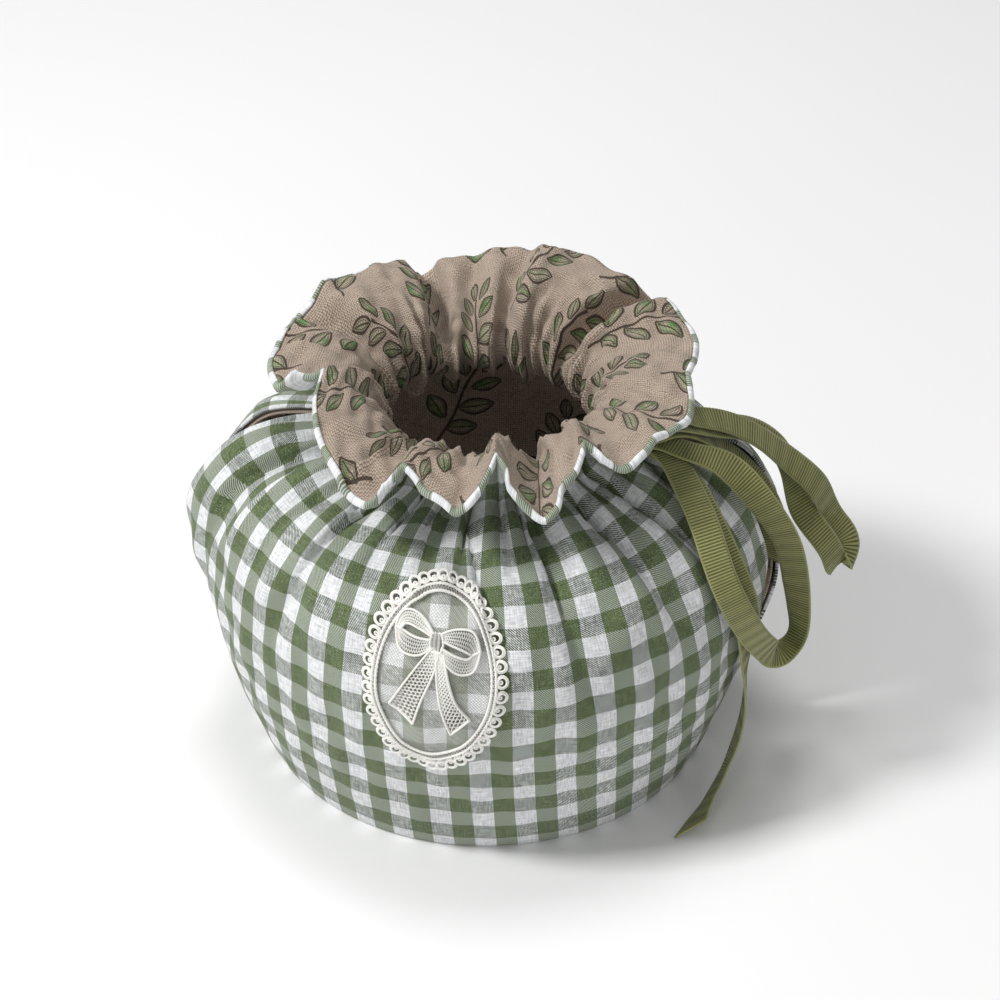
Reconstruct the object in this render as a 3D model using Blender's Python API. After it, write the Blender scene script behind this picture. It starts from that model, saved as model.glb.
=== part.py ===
"""Gathered tea cosy: a round gingham cover with a printed lining, drawn in at the neck under an
open ruffle, slit at both sides, with a lace medallion on the front and a ribbon tied at one side.

The cosy stands on its hem at z = 0, centred on the Z axis. The front is -Y, one slit faces -X and
the other +X. Tables hold millimetres and degrees; everything built is in metres.
"""

import math
from collections import namedtuple

import bmesh
import bpy
import numpy as np

MM = 0.001

# Cloth layers, measured outwards from the seam surface that both layers share.
LAYER_GAP = 0.45
COVER_THICKNESS = 2.0
LINING_THICKNESS = 1.2
RIM_ROLL = 3.0
HEM_TURN = 4.0
LINING_HEM_LIFT = 0.3
RIM_GAP = 0.8
RUFFLE_LENGTH = 50.0

# Body: the wall from the hem up to the drawn-in neck.
Station = namedtuple("Station", "name radius height")
BODY = (
    Station("hem", 79.0, 0.0),
    Station("skirt", 86.0, 19.0),
    Station("low belly", 92.0, 40.0),
    Station("belly", 95.5, 62.0),
    Station("high belly", 95.0, 81.0),
    Station("shoulder", 90.0, 98.0),
    Station("slope", 80.0, 110.5),
    Station("yoke", 66.0, 117.5),
    Station("gathers", 51.0, 119.8),
    Station("neck turn", 42.0, 121.5),
    Station("neck", 39.0, 127.0),
)

# Ruffle rim, one row for each fold: a lobe hangs outwards, a ridge stands up between two lobes.
# The keenness is 0 for a soft turn of the rim and 1 for a sharp one.
Fold = namedtuple("Fold", "name azimuth radius height keenness")
RIM = (
    Fold("left ridge", -154.0, 57.0, 156.0, 1.0),
    Fold("left flank", -138.0, 68.0, 150.5, 0.9),
    Fold("left front side", -123.0, 75.5, 144.0, 0.9),
    Fold("left front lobe", -111.0, 79.5, 136.5, 0.4),
    Fold("left front ridge", -105.0, 67.0, 148.0, 1.0),
    Fold("front side", -96.0, 74.0, 144.5, 0.9),
    Fold("front lobe", -87.0, 76.5, 140.5, 0.2),
    Fold("front ridge", -78.0, 61.0, 152.5, 1.0),
    Fold("right front lobe", -67.5, 79.5, 136.5, 0.4),
    Fold("right front side", -57.5, 71.0, 146.0, 0.9),
    Fold("right front ridge", -50.0, 63.0, 151.0, 1.0),
    Fold("right lobe", -41.0, 74.5, 144.5, 0.2),
    Fold("right flank", -30.0, 72.0, 147.0, 0.8),
    Fold("tie lobe", -15.0, 74.5, 145.0, 0.2),
    Fold("right ridge", 1.0, 69.5, 148.5, 1.0),
    Fold("right back lobe", 25.0, 75.0, 147.0, 0.4),
    Fold("right back corner", 39.0, 73.5, 150.5, 0.9),
    Fold("right back valley", 47.0, 77.0, 141.0, 0.5),
    Fold("back right corner", 51.5, 69.0, 152.5, 1.0),
    Fold("back right lobe", 66.0, 67.0, 155.0, 0.4),
    Fold("back corner", 79.5, 64.5, 158.0, 0.8),
    Fold("back step", 85.5, 72.0, 149.0, 0.8),
    Fold("back lobe", 96.0, 71.0, 151.0, 0.4),
    Fold("back crease", 102.0, 75.5, 143.0, 0.7),
    Fold("back left lobe", 109.0, 73.5, 146.0, 0.4),
    Fold("back left valley", 116.5, 77.5, 136.5, 0.6),
    Fold("left back corner", 122.0, 74.0, 146.5, 0.8),
    Fold("left back lobe", 136.0, 71.0, 150.5, 0.4),
    Fold("left back end", 152.0, 71.0, 153.0, 0.9),
    Fold("left crease", 162.0, 74.0, 145.5, 0.8),
    Fold("spout lobe start", 171.0, 70.0, 151.5, 0.7),
    Fold("spout lobe", 189.0, 74.0, 147.5, 0.3),
    Fold("spout lobe end", 200.0, 72.0, 147.5, 0.9),
)
RUFFLE_RISE = 9.0
RUFFLE_RISE_SHARE = 0.55
RUFFLE_REACH_SHARE = 0.5
RUFFLE_DROOP = 1.0
NECK_LEAN = 0.5

# Pleats that run down from the neck and fade on the belly. A negative depth is a soft ridge.
Pleat = namedtuple("Pleat", "name neck_azimuth end_azimuth depth width end")
PLEATS = (
    Pleat("beside the left slit", -160.0, -168.0, 3.2, 6.0, 0.42),
    Pleat("left ridge", -148.0, -153.0, -2.4, 5.0, 0.50),
    Pleat("left thin", -137.0, -141.0, 2.4, 4.0, 0.58),
    Pleat("left main", -122.0, -131.0, 3.6, 5.0, 0.40),
    Pleat("left small", -109.0, -113.0, 2.0, 4.0, 0.60),
    Pleat("over the medallion", -97.0, -99.0, 1.8, 4.0, 0.70),
    Pleat("beside the medallion", -88.0, -77.0, 2.6, 4.5, 0.52),
    Pleat("front right", -66.0, -59.0, 3.4, 5.0, 0.40),
    Pleat("right main", -47.0, -34.0, 3.4, 5.0, 0.42),
    Pleat("right upper", -31.0, -17.0, 3.2, 5.0, 0.50),
    Pleat("behind the right slit", 22.0, 27.0, 3.0, 6.0, 0.45),
    Pleat("right back", 43.0, 47.0, 3.2, 5.0, 0.48),
    Pleat("right back small", 61.0, 62.0, 2.2, 4.5, 0.60),
    Pleat("back", 79.0, 80.0, 3.2, 5.0, 0.45),
    Pleat("back left small", 98.0, 97.0, 2.4, 4.5, 0.58),
    Pleat("back left", 117.0, 113.0, 3.4, 5.0, 0.46),
    Pleat("left back", 139.0, 134.0, 3.0, 5.0, 0.50),
    Pleat("behind the left slit", 158.0, 153.0, 2.6, 5.0, 0.52),
)
PLEAT_PEAK = 0.86
PLEAT_NECK_SHARE = 0.35
PLEAT_LOW_SPREAD = 1.35
PLEAT_HIGH_SPREAD = 0.75
PLEAT_EDGE_POWER = 1.6

# Slits for a spout and a handle. Their edges part by the half width and stand out by the flares,
# most at the peak, a share of the slit's length from its low end.
Slit = namedtuple("Slit", "name azimuth low high half_width front_flare back_flare back_peak spread")
SLITS = (
    Slit("spout slit", 181.0, 0.32, 0.93, 9.0, 8.5, 3.0, 0.5, 21.0),
    Slit("handle slit", 3.0, 0.21, 0.93, 8.5, 4.0, 8.0, 0.3, 21.0),
)
SLIT_FLARE_PEAK = 0.55
SLIT_END_POWER = 0.8

# Columns of the cloth grid lie on the rim's folds, with more between them by length.
COLUMN_PITCH = 7.4
V_STEP = 2e-3
PLACE_STEP = 2e-3
TINY = 1e-6
STEEP_LIFT = 3.0
BODY_ROWS = (0.0, 0.11, 0.21, 0.32, 0.43, 0.53, 0.62, 0.70, 0.78, 0.86, 0.93, 0.97, 1.0)
RUFFLE_ROWS = (1.12, 1.27, 1.43, 1.60, 1.78, 2.0)

# Lace medallion: a scalloped oval that lies on the front.
MEDALLION_AZIMUTH = -92.0
MEDALLION_CENTRE = 0.535
MEDALLION_WIDTH = 48.0
MEDALLION_HEIGHT = 74.0
MEDALLION_SCALLOPS = 44
MEDALLION_THICKNESS = 0.9
MEDALLION_RING_RISE = 0.7
MEDALLION_LEAN = 4.0
MEDALLION_LIFT = 0.8
MEDALLION_EDGE = 0.98
MEDALLION_SCALLOP = 0.02
# Rings of the medallion's upper face from the middle out: share of the half size, and rise.
Ring = namedtuple("Ring", "share rise")
MEDALLION_RINGS = (
    Ring(0.45, 0.0),
    Ring(0.76, 0.0),
    Ring(0.80, MEDALLION_RING_RISE),
    Ring(0.88, MEDALLION_RING_RISE),
    Ring(0.92, 0.0),
)

# Ribbon: grosgrain, tied in a bow under the ruffle at the side of the handle slit.
RIBBON_WIDTH = 10.0
RIBBON_THICKNESS = 1.0
KNOT_AZIMUTH = -8.0
KNOT_RADIUS = 47.9
KNOT_HEIGHT = 128.2
KNOT_SIZE = (10.2, 14.0, 8.6)
KNOT_ROUND = 1.6

# Ribbon routes, a row for each turn: its place, then the direction of the ribbon's width there.
Turn = namedtuple("Turn", "x y z wide_x wide_y wide_z")
RIBBONS = {
    "ribbon_front_loop": (
        Turn(53.0, -7.5, 126.2, 0.14, 0.99, 0.00),
        Turn(57.4, -8.1, 126.1, 0.14, 0.99, 0.00),
        Turn(63.6, -12.5, 125.9, 0.50, 0.86, 0.00),
        Turn(71.5, -23.5, 122.0, 0.80, 0.55, 0.10),
        Turn(79.6, -37.5, 114.8, 0.95, 0.30, 0.10),
        Turn(86.7, -45.5, 100.0, 0.95, 0.30, 0.10),
        Turn(93.3, -44.9, 84.4, 0.93, 0.36, 0.10),
        Turn(99.1, -37.3, 68.3, 0.85, 0.52, 0.10),
        Turn(103.3, -24.8, 53.4, 0.60, 0.80, 0.10),
        Turn(107.0, -14.0, 45.0, 0.10, 1.00, 0.10),
        Turn(112.0, -7.0, 46.5, -0.55, 0.85, 0.00),
        Turn(112.5, -5.0, 55.0, -0.80, 0.55, 0.00),
        Turn(110.6, -6.4, 71.2, -0.97, 0.20, 0.00),
        Turn(106.7, -10.7, 91.0, -0.98, 0.05, 0.00),
        Turn(96.3, -14.8, 111.3, -0.95, -0.15, -0.20),
        Turn(81.7, -13.0, 124.4, -0.70, -0.70, -0.10),
        Turn(69.8, -10.9, 126.4, -0.35, -0.93, 0.00),
        Turn(62.5, -9.0, 127.6, -0.15, -0.99, 0.00),
        Turn(57.4, -8.1, 127.6, -0.14, -0.99, 0.00),
        Turn(53.0, -7.5, 127.6, -0.14, -0.99, 0.00),
    ),
    "ribbon_back_loop": (
        Turn(53.0, -7.5, 131.8, 0.14, 0.99, 0.00),
        Turn(57.4, -8.1, 131.9, 0.14, 0.99, 0.00),
        Turn(62.4, -3.5, 135.5, -0.20, 0.97, 0.00),
        Turn(69.7, 4.0, 130.6, -0.30, 0.95, 0.10),
        Turn(80.0, 10.5, 125.0, -0.30, 0.90, 0.30),
        Turn(94.0, 15.5, 115.8, -0.20, 0.85, 0.45),
        Turn(105.1, 19.9, 103.8, 0.10, 0.80, 0.60),
        Turn(116.2, 23.6, 89.9, 0.35, 0.75, 0.55),
        Turn(121.9, 27.3, 74.5, 0.60, 0.75, 0.30),
        Turn(127.4, 24.6, 65.0, 0.70, 0.70, 0.20),
        Turn(125.0, 19.5, 61.0, 0.70, 0.70, 0.20),
        Turn(122.0, 15.8, 68.3, 0.60, 0.75, 0.30),
        Turn(110.5, 19.8, 83.5, 0.35, 0.75, 0.55),
        Turn(102.2, 24.2, 103.3, 0.10, 0.80, 0.60),
        Turn(90.0, 19.4, 116.3, -0.20, 0.85, 0.45),
        Turn(78.3, 8.6, 123.5, -0.30, 0.90, 0.20),
        Turn(69.5, 1.6, 129.0, -0.30, 0.95, 0.10),
        Turn(63.4, -3.9, 131.5, -0.20, 0.97, 0.00),
        Turn(57.4, -8.1, 130.4, 0.14, 0.99, 0.00),
        Turn(53.0, -7.5, 130.4, 0.14, 0.99, 0.00),
    ),
    "ribbon_tail_front": (
        Turn(53.0, -7.5, 124.8, 0.14, 0.99, 0.00),
        Turn(57.4, -8.1, 124.7, 0.14, 0.99, 0.00),
        Turn(63.8, -11.7, 124.4, 0.50, 0.86, 0.00),
        Turn(70.8, -18.8, 121.6, 0.80, 0.55, 0.00),
        Turn(79.7, -30.6, 114.2, 0.93, 0.36, 0.00),
        Turn(88.5, -39.5, 101.3, 0.93, 0.36, 0.00),
        Turn(94.9, -39.7, 83.1, 0.85, 0.52, 0.00),
        Turn(96.1, -33.7, 64.6, 0.50, 0.86, 0.00),
        Turn(95.9, -29.6, 46.0, 0.00, 1.00, 0.00),
        Turn(96.0, -29.8, 33.0, -0.14, 0.99, 0.00),
        Turn(94.8, -31.3, 22.0, -0.14, 0.99, 0.00),
        Turn(90.8, -37.7, 9.5, -0.22, 0.70, -0.60),
        Turn(85.8, -51.0, 4.8, -0.52, 0.27, -0.81),
        Turn(81.2, -65.0, 3.6, -0.77, 0.40, -0.50),
    ),
    "ribbon_tail_back": (
        Turn(53.0, -7.5, 129.0, 0.14, 0.99, 0.00),
        Turn(57.4, -8.1, 129.0, 0.14, 0.99, 0.00),
        Turn(63.5, -4.0, 129.3, -0.20, 0.97, 0.00),
        Turn(71.0, 2.0, 125.8, -0.30, 0.95, 0.00),
        Turn(78.0, 5.5, 119.8, -0.25, 0.97, 0.00),
        Turn(84.5, 8.0, 113.0, 0.10, 0.98, 0.00),
        Turn(90.5, 10.0, 104.5, 0.50, 0.85, 0.00),
        Turn(95.5, 11.5, 95.5, 0.80, 0.55, 0.00),
        Turn(99.5, 12.5, 86.0, 0.95, 0.25, 0.00),
        Turn(102.0, 12.8, 75.0, 0.98, 0.10, 0.00),
        Turn(103.5, 12.8, 64.0, 0.98, 0.10, 0.00),
    ),
}
TAIL_SLANT = 4.0
RIBBON_PITCH = 4.0

GINGHAM_GREEN = (0.20, 0.26, 0.14, 1.0)
LINEN_BEIGE = (0.46, 0.37, 0.30, 1.0)
LACE_CREAM = (0.86, 0.83, 0.76, 1.0)
RIBBON_OLIVE = (0.26, 0.27, 0.09, 1.0)


def smoothstep(value):
    """Ease from 0 to 1, held outside that range."""
    clipped = np.clip(value, 0.0, 1.0)
    return clipped * clipped * (3.0 - 2.0 * clipped)


def spline_bend(knots, values):
    """Second derivatives at the knots of the natural cubic spline through the values."""
    step = np.diff(knots)
    slope = np.diff(values) / step
    matrix = np.eye(len(knots))
    right = np.zeros(len(knots))
    for i in range(1, len(knots) - 1):
        matrix[i, i - 1 : i + 2] = step[i - 1], 2.0 * (step[i - 1] + step[i]), step[i]
        right[i] = 6.0 * (slope[i] - slope[i - 1])
    return np.linalg.solve(matrix, right)


def natural_spline(knots, values, at):
    """Natural cubic spline through the values, read at the given places."""
    values = np.asarray(values, float)
    at = np.asarray(at, float)
    step = np.diff(knots)
    bend = spline_bend(knots, values)
    i = np.clip(np.searchsorted(knots, at) - 1, 0, len(step) - 1)
    ahead = knots[i + 1] - at
    behind = at - knots[i]
    return (
        (bend[i] * ahead**3 + bend[i + 1] * behind**3) / (6.0 * step[i])
        + (values[i] / step[i] - bend[i] * step[i] / 6.0) * ahead
        + (values[i + 1] / step[i] - bend[i + 1] * step[i] / 6.0) * behind
    )


def chord_knots(points):
    """Length along a chain of points, scaled to run from 0 to 1."""
    lengths = np.linalg.norm(np.diff(np.asarray(points, float), axis=0), axis=1)
    total = np.concatenate([[0.0], np.cumsum(lengths)])
    return total / total[-1]


BODY_KNOTS = chord_knots([(row.radius, row.height) for row in BODY])
BODY_LENGTH = sum(math.dist(low[1:], high[1:]) for low, high in zip(BODY, BODY[1:]))


def body_curve(v):
    """Radius and height of the plain wall at v, 0 at the hem and 1 at the neck."""
    radius = natural_spline(BODY_KNOTS, [row.radius for row in BODY], v)
    height = natural_spline(BODY_KNOTS, [row.height for row in BODY], v)
    return radius, height


def rim_fold(place, keen_share=1.0):
    """Azimuth, radius and height of the rim at a place counted in rows of RIM, round and round.

    keen_share softens the sharp folds, down to 0 for a rim of round waves only.
    """
    place = np.asarray(place, float) % len(RIM)
    first = np.floor(place).astype(int)
    share = place - first
    second = (first + 1) % len(RIM)
    turn = np.where(second == 0, 360.0, 0.0)
    keen = np.array([row.keenness for row in RIM])
    result = []
    for column in ("azimuth", "radius", "height"):
        values = np.array([getattr(row, column) for row in RIM])
        start = values[first]
        end = values[second] + (turn if column == "azimuth" else 0.0)
        chord = end - start
        ends = (1.0, 1.0)
        if column != "azimuth":
            ends = (keen[first] * keen_share, keen[second] * keen_share)
        ease = share**2 * (3.0 - 2.0 * share)
        result.append(
            start
            + chord * ease
            + chord * ends[0] * (share**3 - 2.0 * share**2 + share)
            + chord * ends[1] * (share**3 - share**2)
        )
    return result


def cylinder_point(azimuth, radius, height):
    """Points in space from degrees and millimetres."""
    angle = np.radians(azimuth)
    return np.stack([radius * np.cos(angle), radius * np.sin(angle), height + 0.0 * angle], axis=-1)


def rim_lengths(steps_a_fold=24):
    """Length of rim cloth from the first fold to each row of RIM and once round."""
    places = np.linspace(0.0, len(RIM), len(RIM) * steps_a_fold + 1)
    azimuth, radius, height = rim_fold(places)
    points = cylinder_point(azimuth, radius, height)
    lengths = np.concatenate([[0.0], np.cumsum(np.linalg.norm(np.diff(points, axis=0), axis=1))])
    return lengths[::steps_a_fold]


RIM_LENGTHS = rim_lengths()
RIM_TOTAL = RIM_LENGTHS[-1]


def cloth_azimuth(place):
    """Azimuth on the body of the cloth that reaches the rim at this place."""
    length = np.interp(place, np.arange(len(RIM_LENGTHS)), RIM_LENGTHS)
    return RIM[0].azimuth + 360.0 * length / RIM_TOTAL


def wrapped(degrees):
    """The same direction between -180 and 180 degrees."""
    return (np.asarray(degrees, float) + 180.0) % 360.0 - 180.0


def pleat_depth(azimuth, v):
    """How far the pleats pull the wall in."""
    depth = 0.0
    for row in PLEATS:
        run = np.clip((v - row.end) / (1.0 - row.end), 0.0, 1.0)
        centre = row.end_azimuth + (row.neck_azimuth - row.end_azimuth) * run
        width = row.width * (PLEAT_LOW_SPREAD + (PLEAT_HIGH_SPREAD - PLEAT_LOW_SPREAD) * run)
        rise = smoothstep((v - row.end) / (PLEAT_PEAK - row.end))
        fade = 1.0 - (1.0 - PLEAT_NECK_SHARE) * smoothstep((v - PLEAT_PEAK) / (1.0 - PLEAT_PEAK))
        across = wrapped(azimuth - centre) / width
        depth = depth + row.depth * rise * fade * np.exp(-np.abs(across) ** PLEAT_EDGE_POWER)
    return depth


def slit_shape(azimuth, v, side):
    """Sideways shift in degrees and outward flare in millimetres beside the slits."""
    shift = 0.0
    flare = 0.0
    for row in SLITS:
        run = np.clip((v - row.low) / (row.high - row.low), 0.0, 1.0)
        lens = np.sin(math.pi * run) ** SLIT_END_POWER
        away = wrapped(azimuth - row.azimuth)
        sign = np.where(np.abs(away) < TINY, side, np.sign(away))
        near = np.exp(-((away / row.spread) ** 2))
        shift = shift + sign * row.half_width * lens * near
        to_front = (sign > 0) == (math.cos(math.radians(row.azimuth)) < 0)
        peak = np.where(to_front, SLIT_FLARE_PEAK, row.back_peak)
        lift = np.where(to_front, row.front_flare, row.back_flare)
        flare = flare + lift * np.sin(math.pi * run ** (np.log(0.5) / np.log(peak))) * near**2
    return shift, flare


def seam_surface(place, v, side=0.0):
    """Azimuth, radius and height of the surface where cover and lining meet.

    place counts rows of RIM round the cosy, v runs from 0 at the hem over 1 at the neck to 2 at
    the rim, and side is -1 or +1 for the two edges of a slit.
    """
    base = cloth_azimuth(place)
    low = np.minimum(v, 1.0)
    radius, height = body_curve(low)
    ahead_radius, ahead_height = body_curve(np.minimum(low + V_STEP / 10, 1.0))
    back_radius, back_height = body_curve(np.maximum(low - V_STEP / 10, 0.0))
    along_radius = ahead_radius - back_radius
    along_height = ahead_height - back_height
    length = np.hypot(along_radius, along_height)
    shift, flare = slit_shape(base, low, side)
    push = flare - pleat_depth(base, low)
    radius = radius + push * along_height / length
    height = height - push * along_radius / length
    if np.all(np.asarray(v) <= 1.0):
        return base + shift, radius, height
    t = np.clip(v - 1.0, 0.0, 1.0)
    rim_azimuth, rim_radius, rim_height = rim_fold(place, t)
    turns = np.floor(np.asarray(place, float) / len(RIM))
    rim_azimuth = rim_azimuth + 360.0 * turns
    rise = RUFFLE_RISE + RUFFLE_RISE_SHARE * (rim_height - height)
    weights = ((1 - t) ** 3, 3 * (1 - t) ** 2 * t, 3 * (1 - t) * t**2, t**3)
    reach = RUFFLE_REACH_SHARE * (rim_radius - radius)
    radii = (radius, radius - NECK_LEAN, rim_radius - reach, rim_radius)
    heights = (height, height + rise, rim_height + RUFFLE_DROOP, rim_height)
    up_radius = sum(weight * value for weight, value in zip(weights, radii))
    up_height = sum(weight * value for weight, value in zip(weights, heights))
    return base + shift + (rim_azimuth - base) * smoothstep(t), up_radius, up_height


def cloth_point(place, v, lift, side=0.0):
    """Points in metres, lifted off the seam surface by lift millimetres in their meridian planes.

    Where a fold is steep the lift grows, up to STEEP_LIFT times, so that the layers keep apart.
    """
    azimuth, radius, height = seam_surface(place, v, side)
    here = cylinder_point(azimuth, radius, height)
    up = seam_surface(place, min(v + V_STEP, 2.0), side)
    down = seam_surface(place, max(v - V_STEP, 0.0), side)
    run_radius = up[1] - down[1]
    run_height = up[2] - down[2]
    length = np.hypot(run_radius, run_height)
    out_radius = run_height / length
    out_height = -run_radius / length
    beside = cylinder_point(*seam_surface(place + PLACE_STEP, v, np.ones_like(side)))
    normal = np.cross(beside - here, cylinder_point(*up) - cylinder_point(*down))
    normal /= np.linalg.norm(normal, axis=-1, keepdims=True)
    outward = cylinder_point(azimuth, out_radius, out_height)
    steep = np.maximum((normal * outward).sum(axis=-1), 1.0 / STEEP_LIFT)
    lift = lift / steep
    height = np.zeros_like(height) if v == 0.0 else height + lift * out_height
    return cylinder_point(azimuth, radius + lift * out_radius, height) * MM


def grid_columns():
    """Places of the grid's columns, and the index of the column on each slit."""
    places = []
    for row in range(len(RIM)):
        count = max(1, round((RIM_LENGTHS[row + 1] - RIM_LENGTHS[row]) / COLUMN_PITCH))
        places.extend(row + np.arange(count) / count)
    slits = {}
    azimuths = cloth_azimuth(np.array(places))
    for slit in SLITS:
        nearest = int(np.argmin(np.abs(wrapped(azimuths - slit.azimuth))))
        lengths = (slit.azimuth - RIM[0].azimuth) % 360.0 / 360.0 * RIM_TOTAL
        places[nearest] = float(np.interp(lengths, RIM_LENGTHS, np.arange(len(RIM_LENGTHS))))
        slits[nearest] = slit
    return places, slits


def cloth_shell(name, loop, rows, colour):
    """A closed shell of cloth with its slits cut.

    loop lists (v, lift) round the shell's section, and rows pairs the outer and inner loop
    indices of the rows that slits can cut.
    """
    places, slits = grid_columns()
    places = np.array(places)
    rings = {}
    for side in (-1, 1):
        for index, (v, lift) in enumerate(loop):
            rings[side, index] = cloth_point(places, v, lift, np.full(len(places), float(side)))
    mesh = bmesh.new()
    made = {}

    def vertex(column, index, side):
        column %= len(places)
        v = loop[index][0]
        slit = slits.get(column)
        split = slit is not None and slit.low < v < slit.high
        key = (column, index, side if split else 0)
        if key not in made:
            made[key] = mesh.verts.new(rings[side if split else -1, index][column])
        return made[key]

    for column in range(len(places)):
        for index in range(len(loop)):
            after = (index + 1) % len(loop)
            mesh.faces.new(
                (
                    vertex(column, index, 1),
                    vertex(column + 1, index, -1),
                    vertex(column + 1, after, -1),
                    vertex(column, after, 1),
                )
            )
    for column, slit in slits.items():
        for (outer, inner), (outer_up, inner_up) in zip(rows, rows[1:]):
            if loop[outer][0] < slit.low - TINY or loop[outer_up][0] > slit.high + TINY:
                continue
            for side in (-1, 1):
                corners = [
                    vertex(column, outer, side),
                    vertex(column, outer_up, side),
                    vertex(column, inner_up, side),
                    vertex(column, inner, side),
                ]
                mesh.faces.new(corners if side < 0 else corners[::-1])
    return finished(name, mesh, colour)


def finished(name, mesh, colour, roughness=0.9):
    """Turn a bmesh into a named object with its own material, its faces pointing out."""
    bmesh.ops.triangulate(mesh, faces=mesh.faces[:])
    bmesh.ops.recalc_face_normals(mesh, faces=mesh.faces[:])
    data = bpy.data.meshes.new(name)
    mesh.to_mesh(data)
    mesh.free()
    data.shade_smooth()
    part = bpy.data.objects.new(name, data)
    bpy.context.scene.collection.objects.link(part)
    material = bpy.data.materials.new(name)
    material.use_nodes = True
    shader = material.node_tree.nodes["Principled BSDF"]
    shader.inputs["Base Color"].default_value = colour
    shader.inputs["Roughness"].default_value = roughness
    shader.inputs["Metallic"].default_value = 0.0
    data.materials.append(material)
    return part


def build_cover():
    """Gingham cover, rolled over the lining's edge at the rim and turned up under it at the hem."""
    inside = LAYER_GAP / 2
    outside = inside + COVER_THICKNESS
    roll = -(inside + LINING_THICKNESS)
    all_rows = BODY_ROWS + RUFFLE_ROWS
    seam = 2.0 - RIM_ROLL / RUFFLE_LENGTH
    outer = [(v, outside) for v in all_rows]
    inner = [(v, inside) for v in all_rows[-2:0:-1]]
    hem = HEM_TURN / BODY_LENGTH
    rim_roll = [(2.0, roll), (seam, roll), (seam, inside)]
    hem_turn = [(hem, inside), (hem, roll), (0.0, roll)]
    loop = outer + rim_roll + inner + hem_turn
    last = len(outer) - 1
    first_inner = last + 4
    rows = [(row, first_inner + last - 1 - row) for row in range(1, last)]
    return cloth_shell("cover", loop, rows, GINGHAM_GREEN)


def build_lining():
    """Printed lining, from just above the hem to the seam under the rim's roll."""
    outside = -LAYER_GAP / 2
    inside = outside - LINING_THICKNESS
    start = (HEM_TURN + LINING_HEM_LIFT) / BODY_LENGTH
    end = 2.0 - (RIM_ROLL + RIM_GAP) / RUFFLE_LENGTH
    all_rows = (start,) + BODY_ROWS[1:] + RUFFLE_ROWS[:-1] + (end,)
    outer = [(v, outside) for v in all_rows]
    inner = [(v, inside) for v in reversed(all_rows)]
    rows = [(row, 2 * len(all_rows) - 1 - row) for row in range(len(all_rows))]
    return cloth_shell("lining", outer + inner, rows, LINEN_BEIGE)


def place_at(azimuth):
    """Place, in rows of RIM, of the cloth at a body azimuth."""
    length = (azimuth - RIM[0].azimuth) % 360.0 / 360.0 * RIM_TOTAL
    return np.interp(length, RIM_LENGTHS, np.arange(len(RIM_LENGTHS)))


def medallion_point(across, up, lift):
    """Point over the cover's front, across and up from the medallion's centre in millimetres."""
    lean = math.radians(MEDALLION_LEAN)
    along = across * math.cos(lean) + up * math.sin(lean)
    rise = up * math.cos(lean) - across * math.sin(lean)
    v = MEDALLION_CENTRE + rise / BODY_LENGTH
    radius, _ = body_curve(v)
    azimuth = MEDALLION_AZIMUTH + math.degrees(along / float(radius))
    place = np.array([place_at(azimuth)])
    return cloth_point(place, v, LAYER_GAP / 2 + COVER_THICKNESS + lift, np.ones(1))[0]


def build_medallion():
    """Lace oval with a scalloped edge and a raised ring, a little off the cover."""
    count = 2 * MEDALLION_SCALLOPS
    mesh = bmesh.new()

    def ring(share, scallop, lift):
        row = []
        for i in range(count):
            angle = 2.0 * math.pi * i / count
            reach = share + (scallop if i % 2 == 0 else -scallop)
            across = reach * MEDALLION_WIDTH / 2 * math.cos(angle)
            up = reach * MEDALLION_HEIGHT / 2 * math.sin(angle)
            row.append(mesh.verts.new(medallion_point(across, up, lift)))
        return row

    def bridge(inner, outer):
        for i in range(count):
            after = (i + 1) % count
            mesh.faces.new((inner[i], outer[i], outer[after], inner[after]))

    top = MEDALLION_LIFT + MEDALLION_THICKNESS
    upper = [ring(row.share, 0.0, top + row.rise) for row in MEDALLION_RINGS]
    upper.append(ring(MEDALLION_EDGE, MEDALLION_SCALLOP, top))
    lower = [ring(row.share, 0.0, MEDALLION_LIFT) for row in MEDALLION_RINGS[:2]]
    lower.append(ring(MEDALLION_EDGE, MEDALLION_SCALLOP, MEDALLION_LIFT))
    for rows in (upper, lower):
        for inner, outer in zip(rows, rows[1:]):
            bridge(inner, outer)
        middle = mesh.verts.new(medallion_point(0.0, 0.0, top if rows is upper else MEDALLION_LIFT))
        for i in range(count):
            mesh.faces.new((middle, rows[0][i], rows[0][(i + 1) % count]))
    bridge(upper[-1], lower[-1])
    return finished("lace_medallion", mesh, LACE_CREAM)


def build_knot():
    """The tied knot, a rounded block of ribbon against the neck."""
    mesh = bmesh.new()
    bmesh.ops.create_cube(mesh, size=1.0)
    for vertex in mesh.verts:
        vertex.co = [share * size * MM for share, size in zip(vertex.co, KNOT_SIZE)]
    bmesh.ops.bevel(
        mesh,
        geom=mesh.edges[:],
        offset=KNOT_ROUND * MM,
        segments=3,
        profile=0.5,
        affect="EDGES",
    )
    part = finished("bow_knot", mesh, RIBBON_OLIVE)
    angle = math.radians(KNOT_AZIMUTH)
    reach = KNOT_RADIUS * MM
    part.location = (reach * math.cos(angle), reach * math.sin(angle), KNOT_HEIGHT * MM)
    part.rotation_euler = (0.0, 0.0, angle)
    return part


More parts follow.
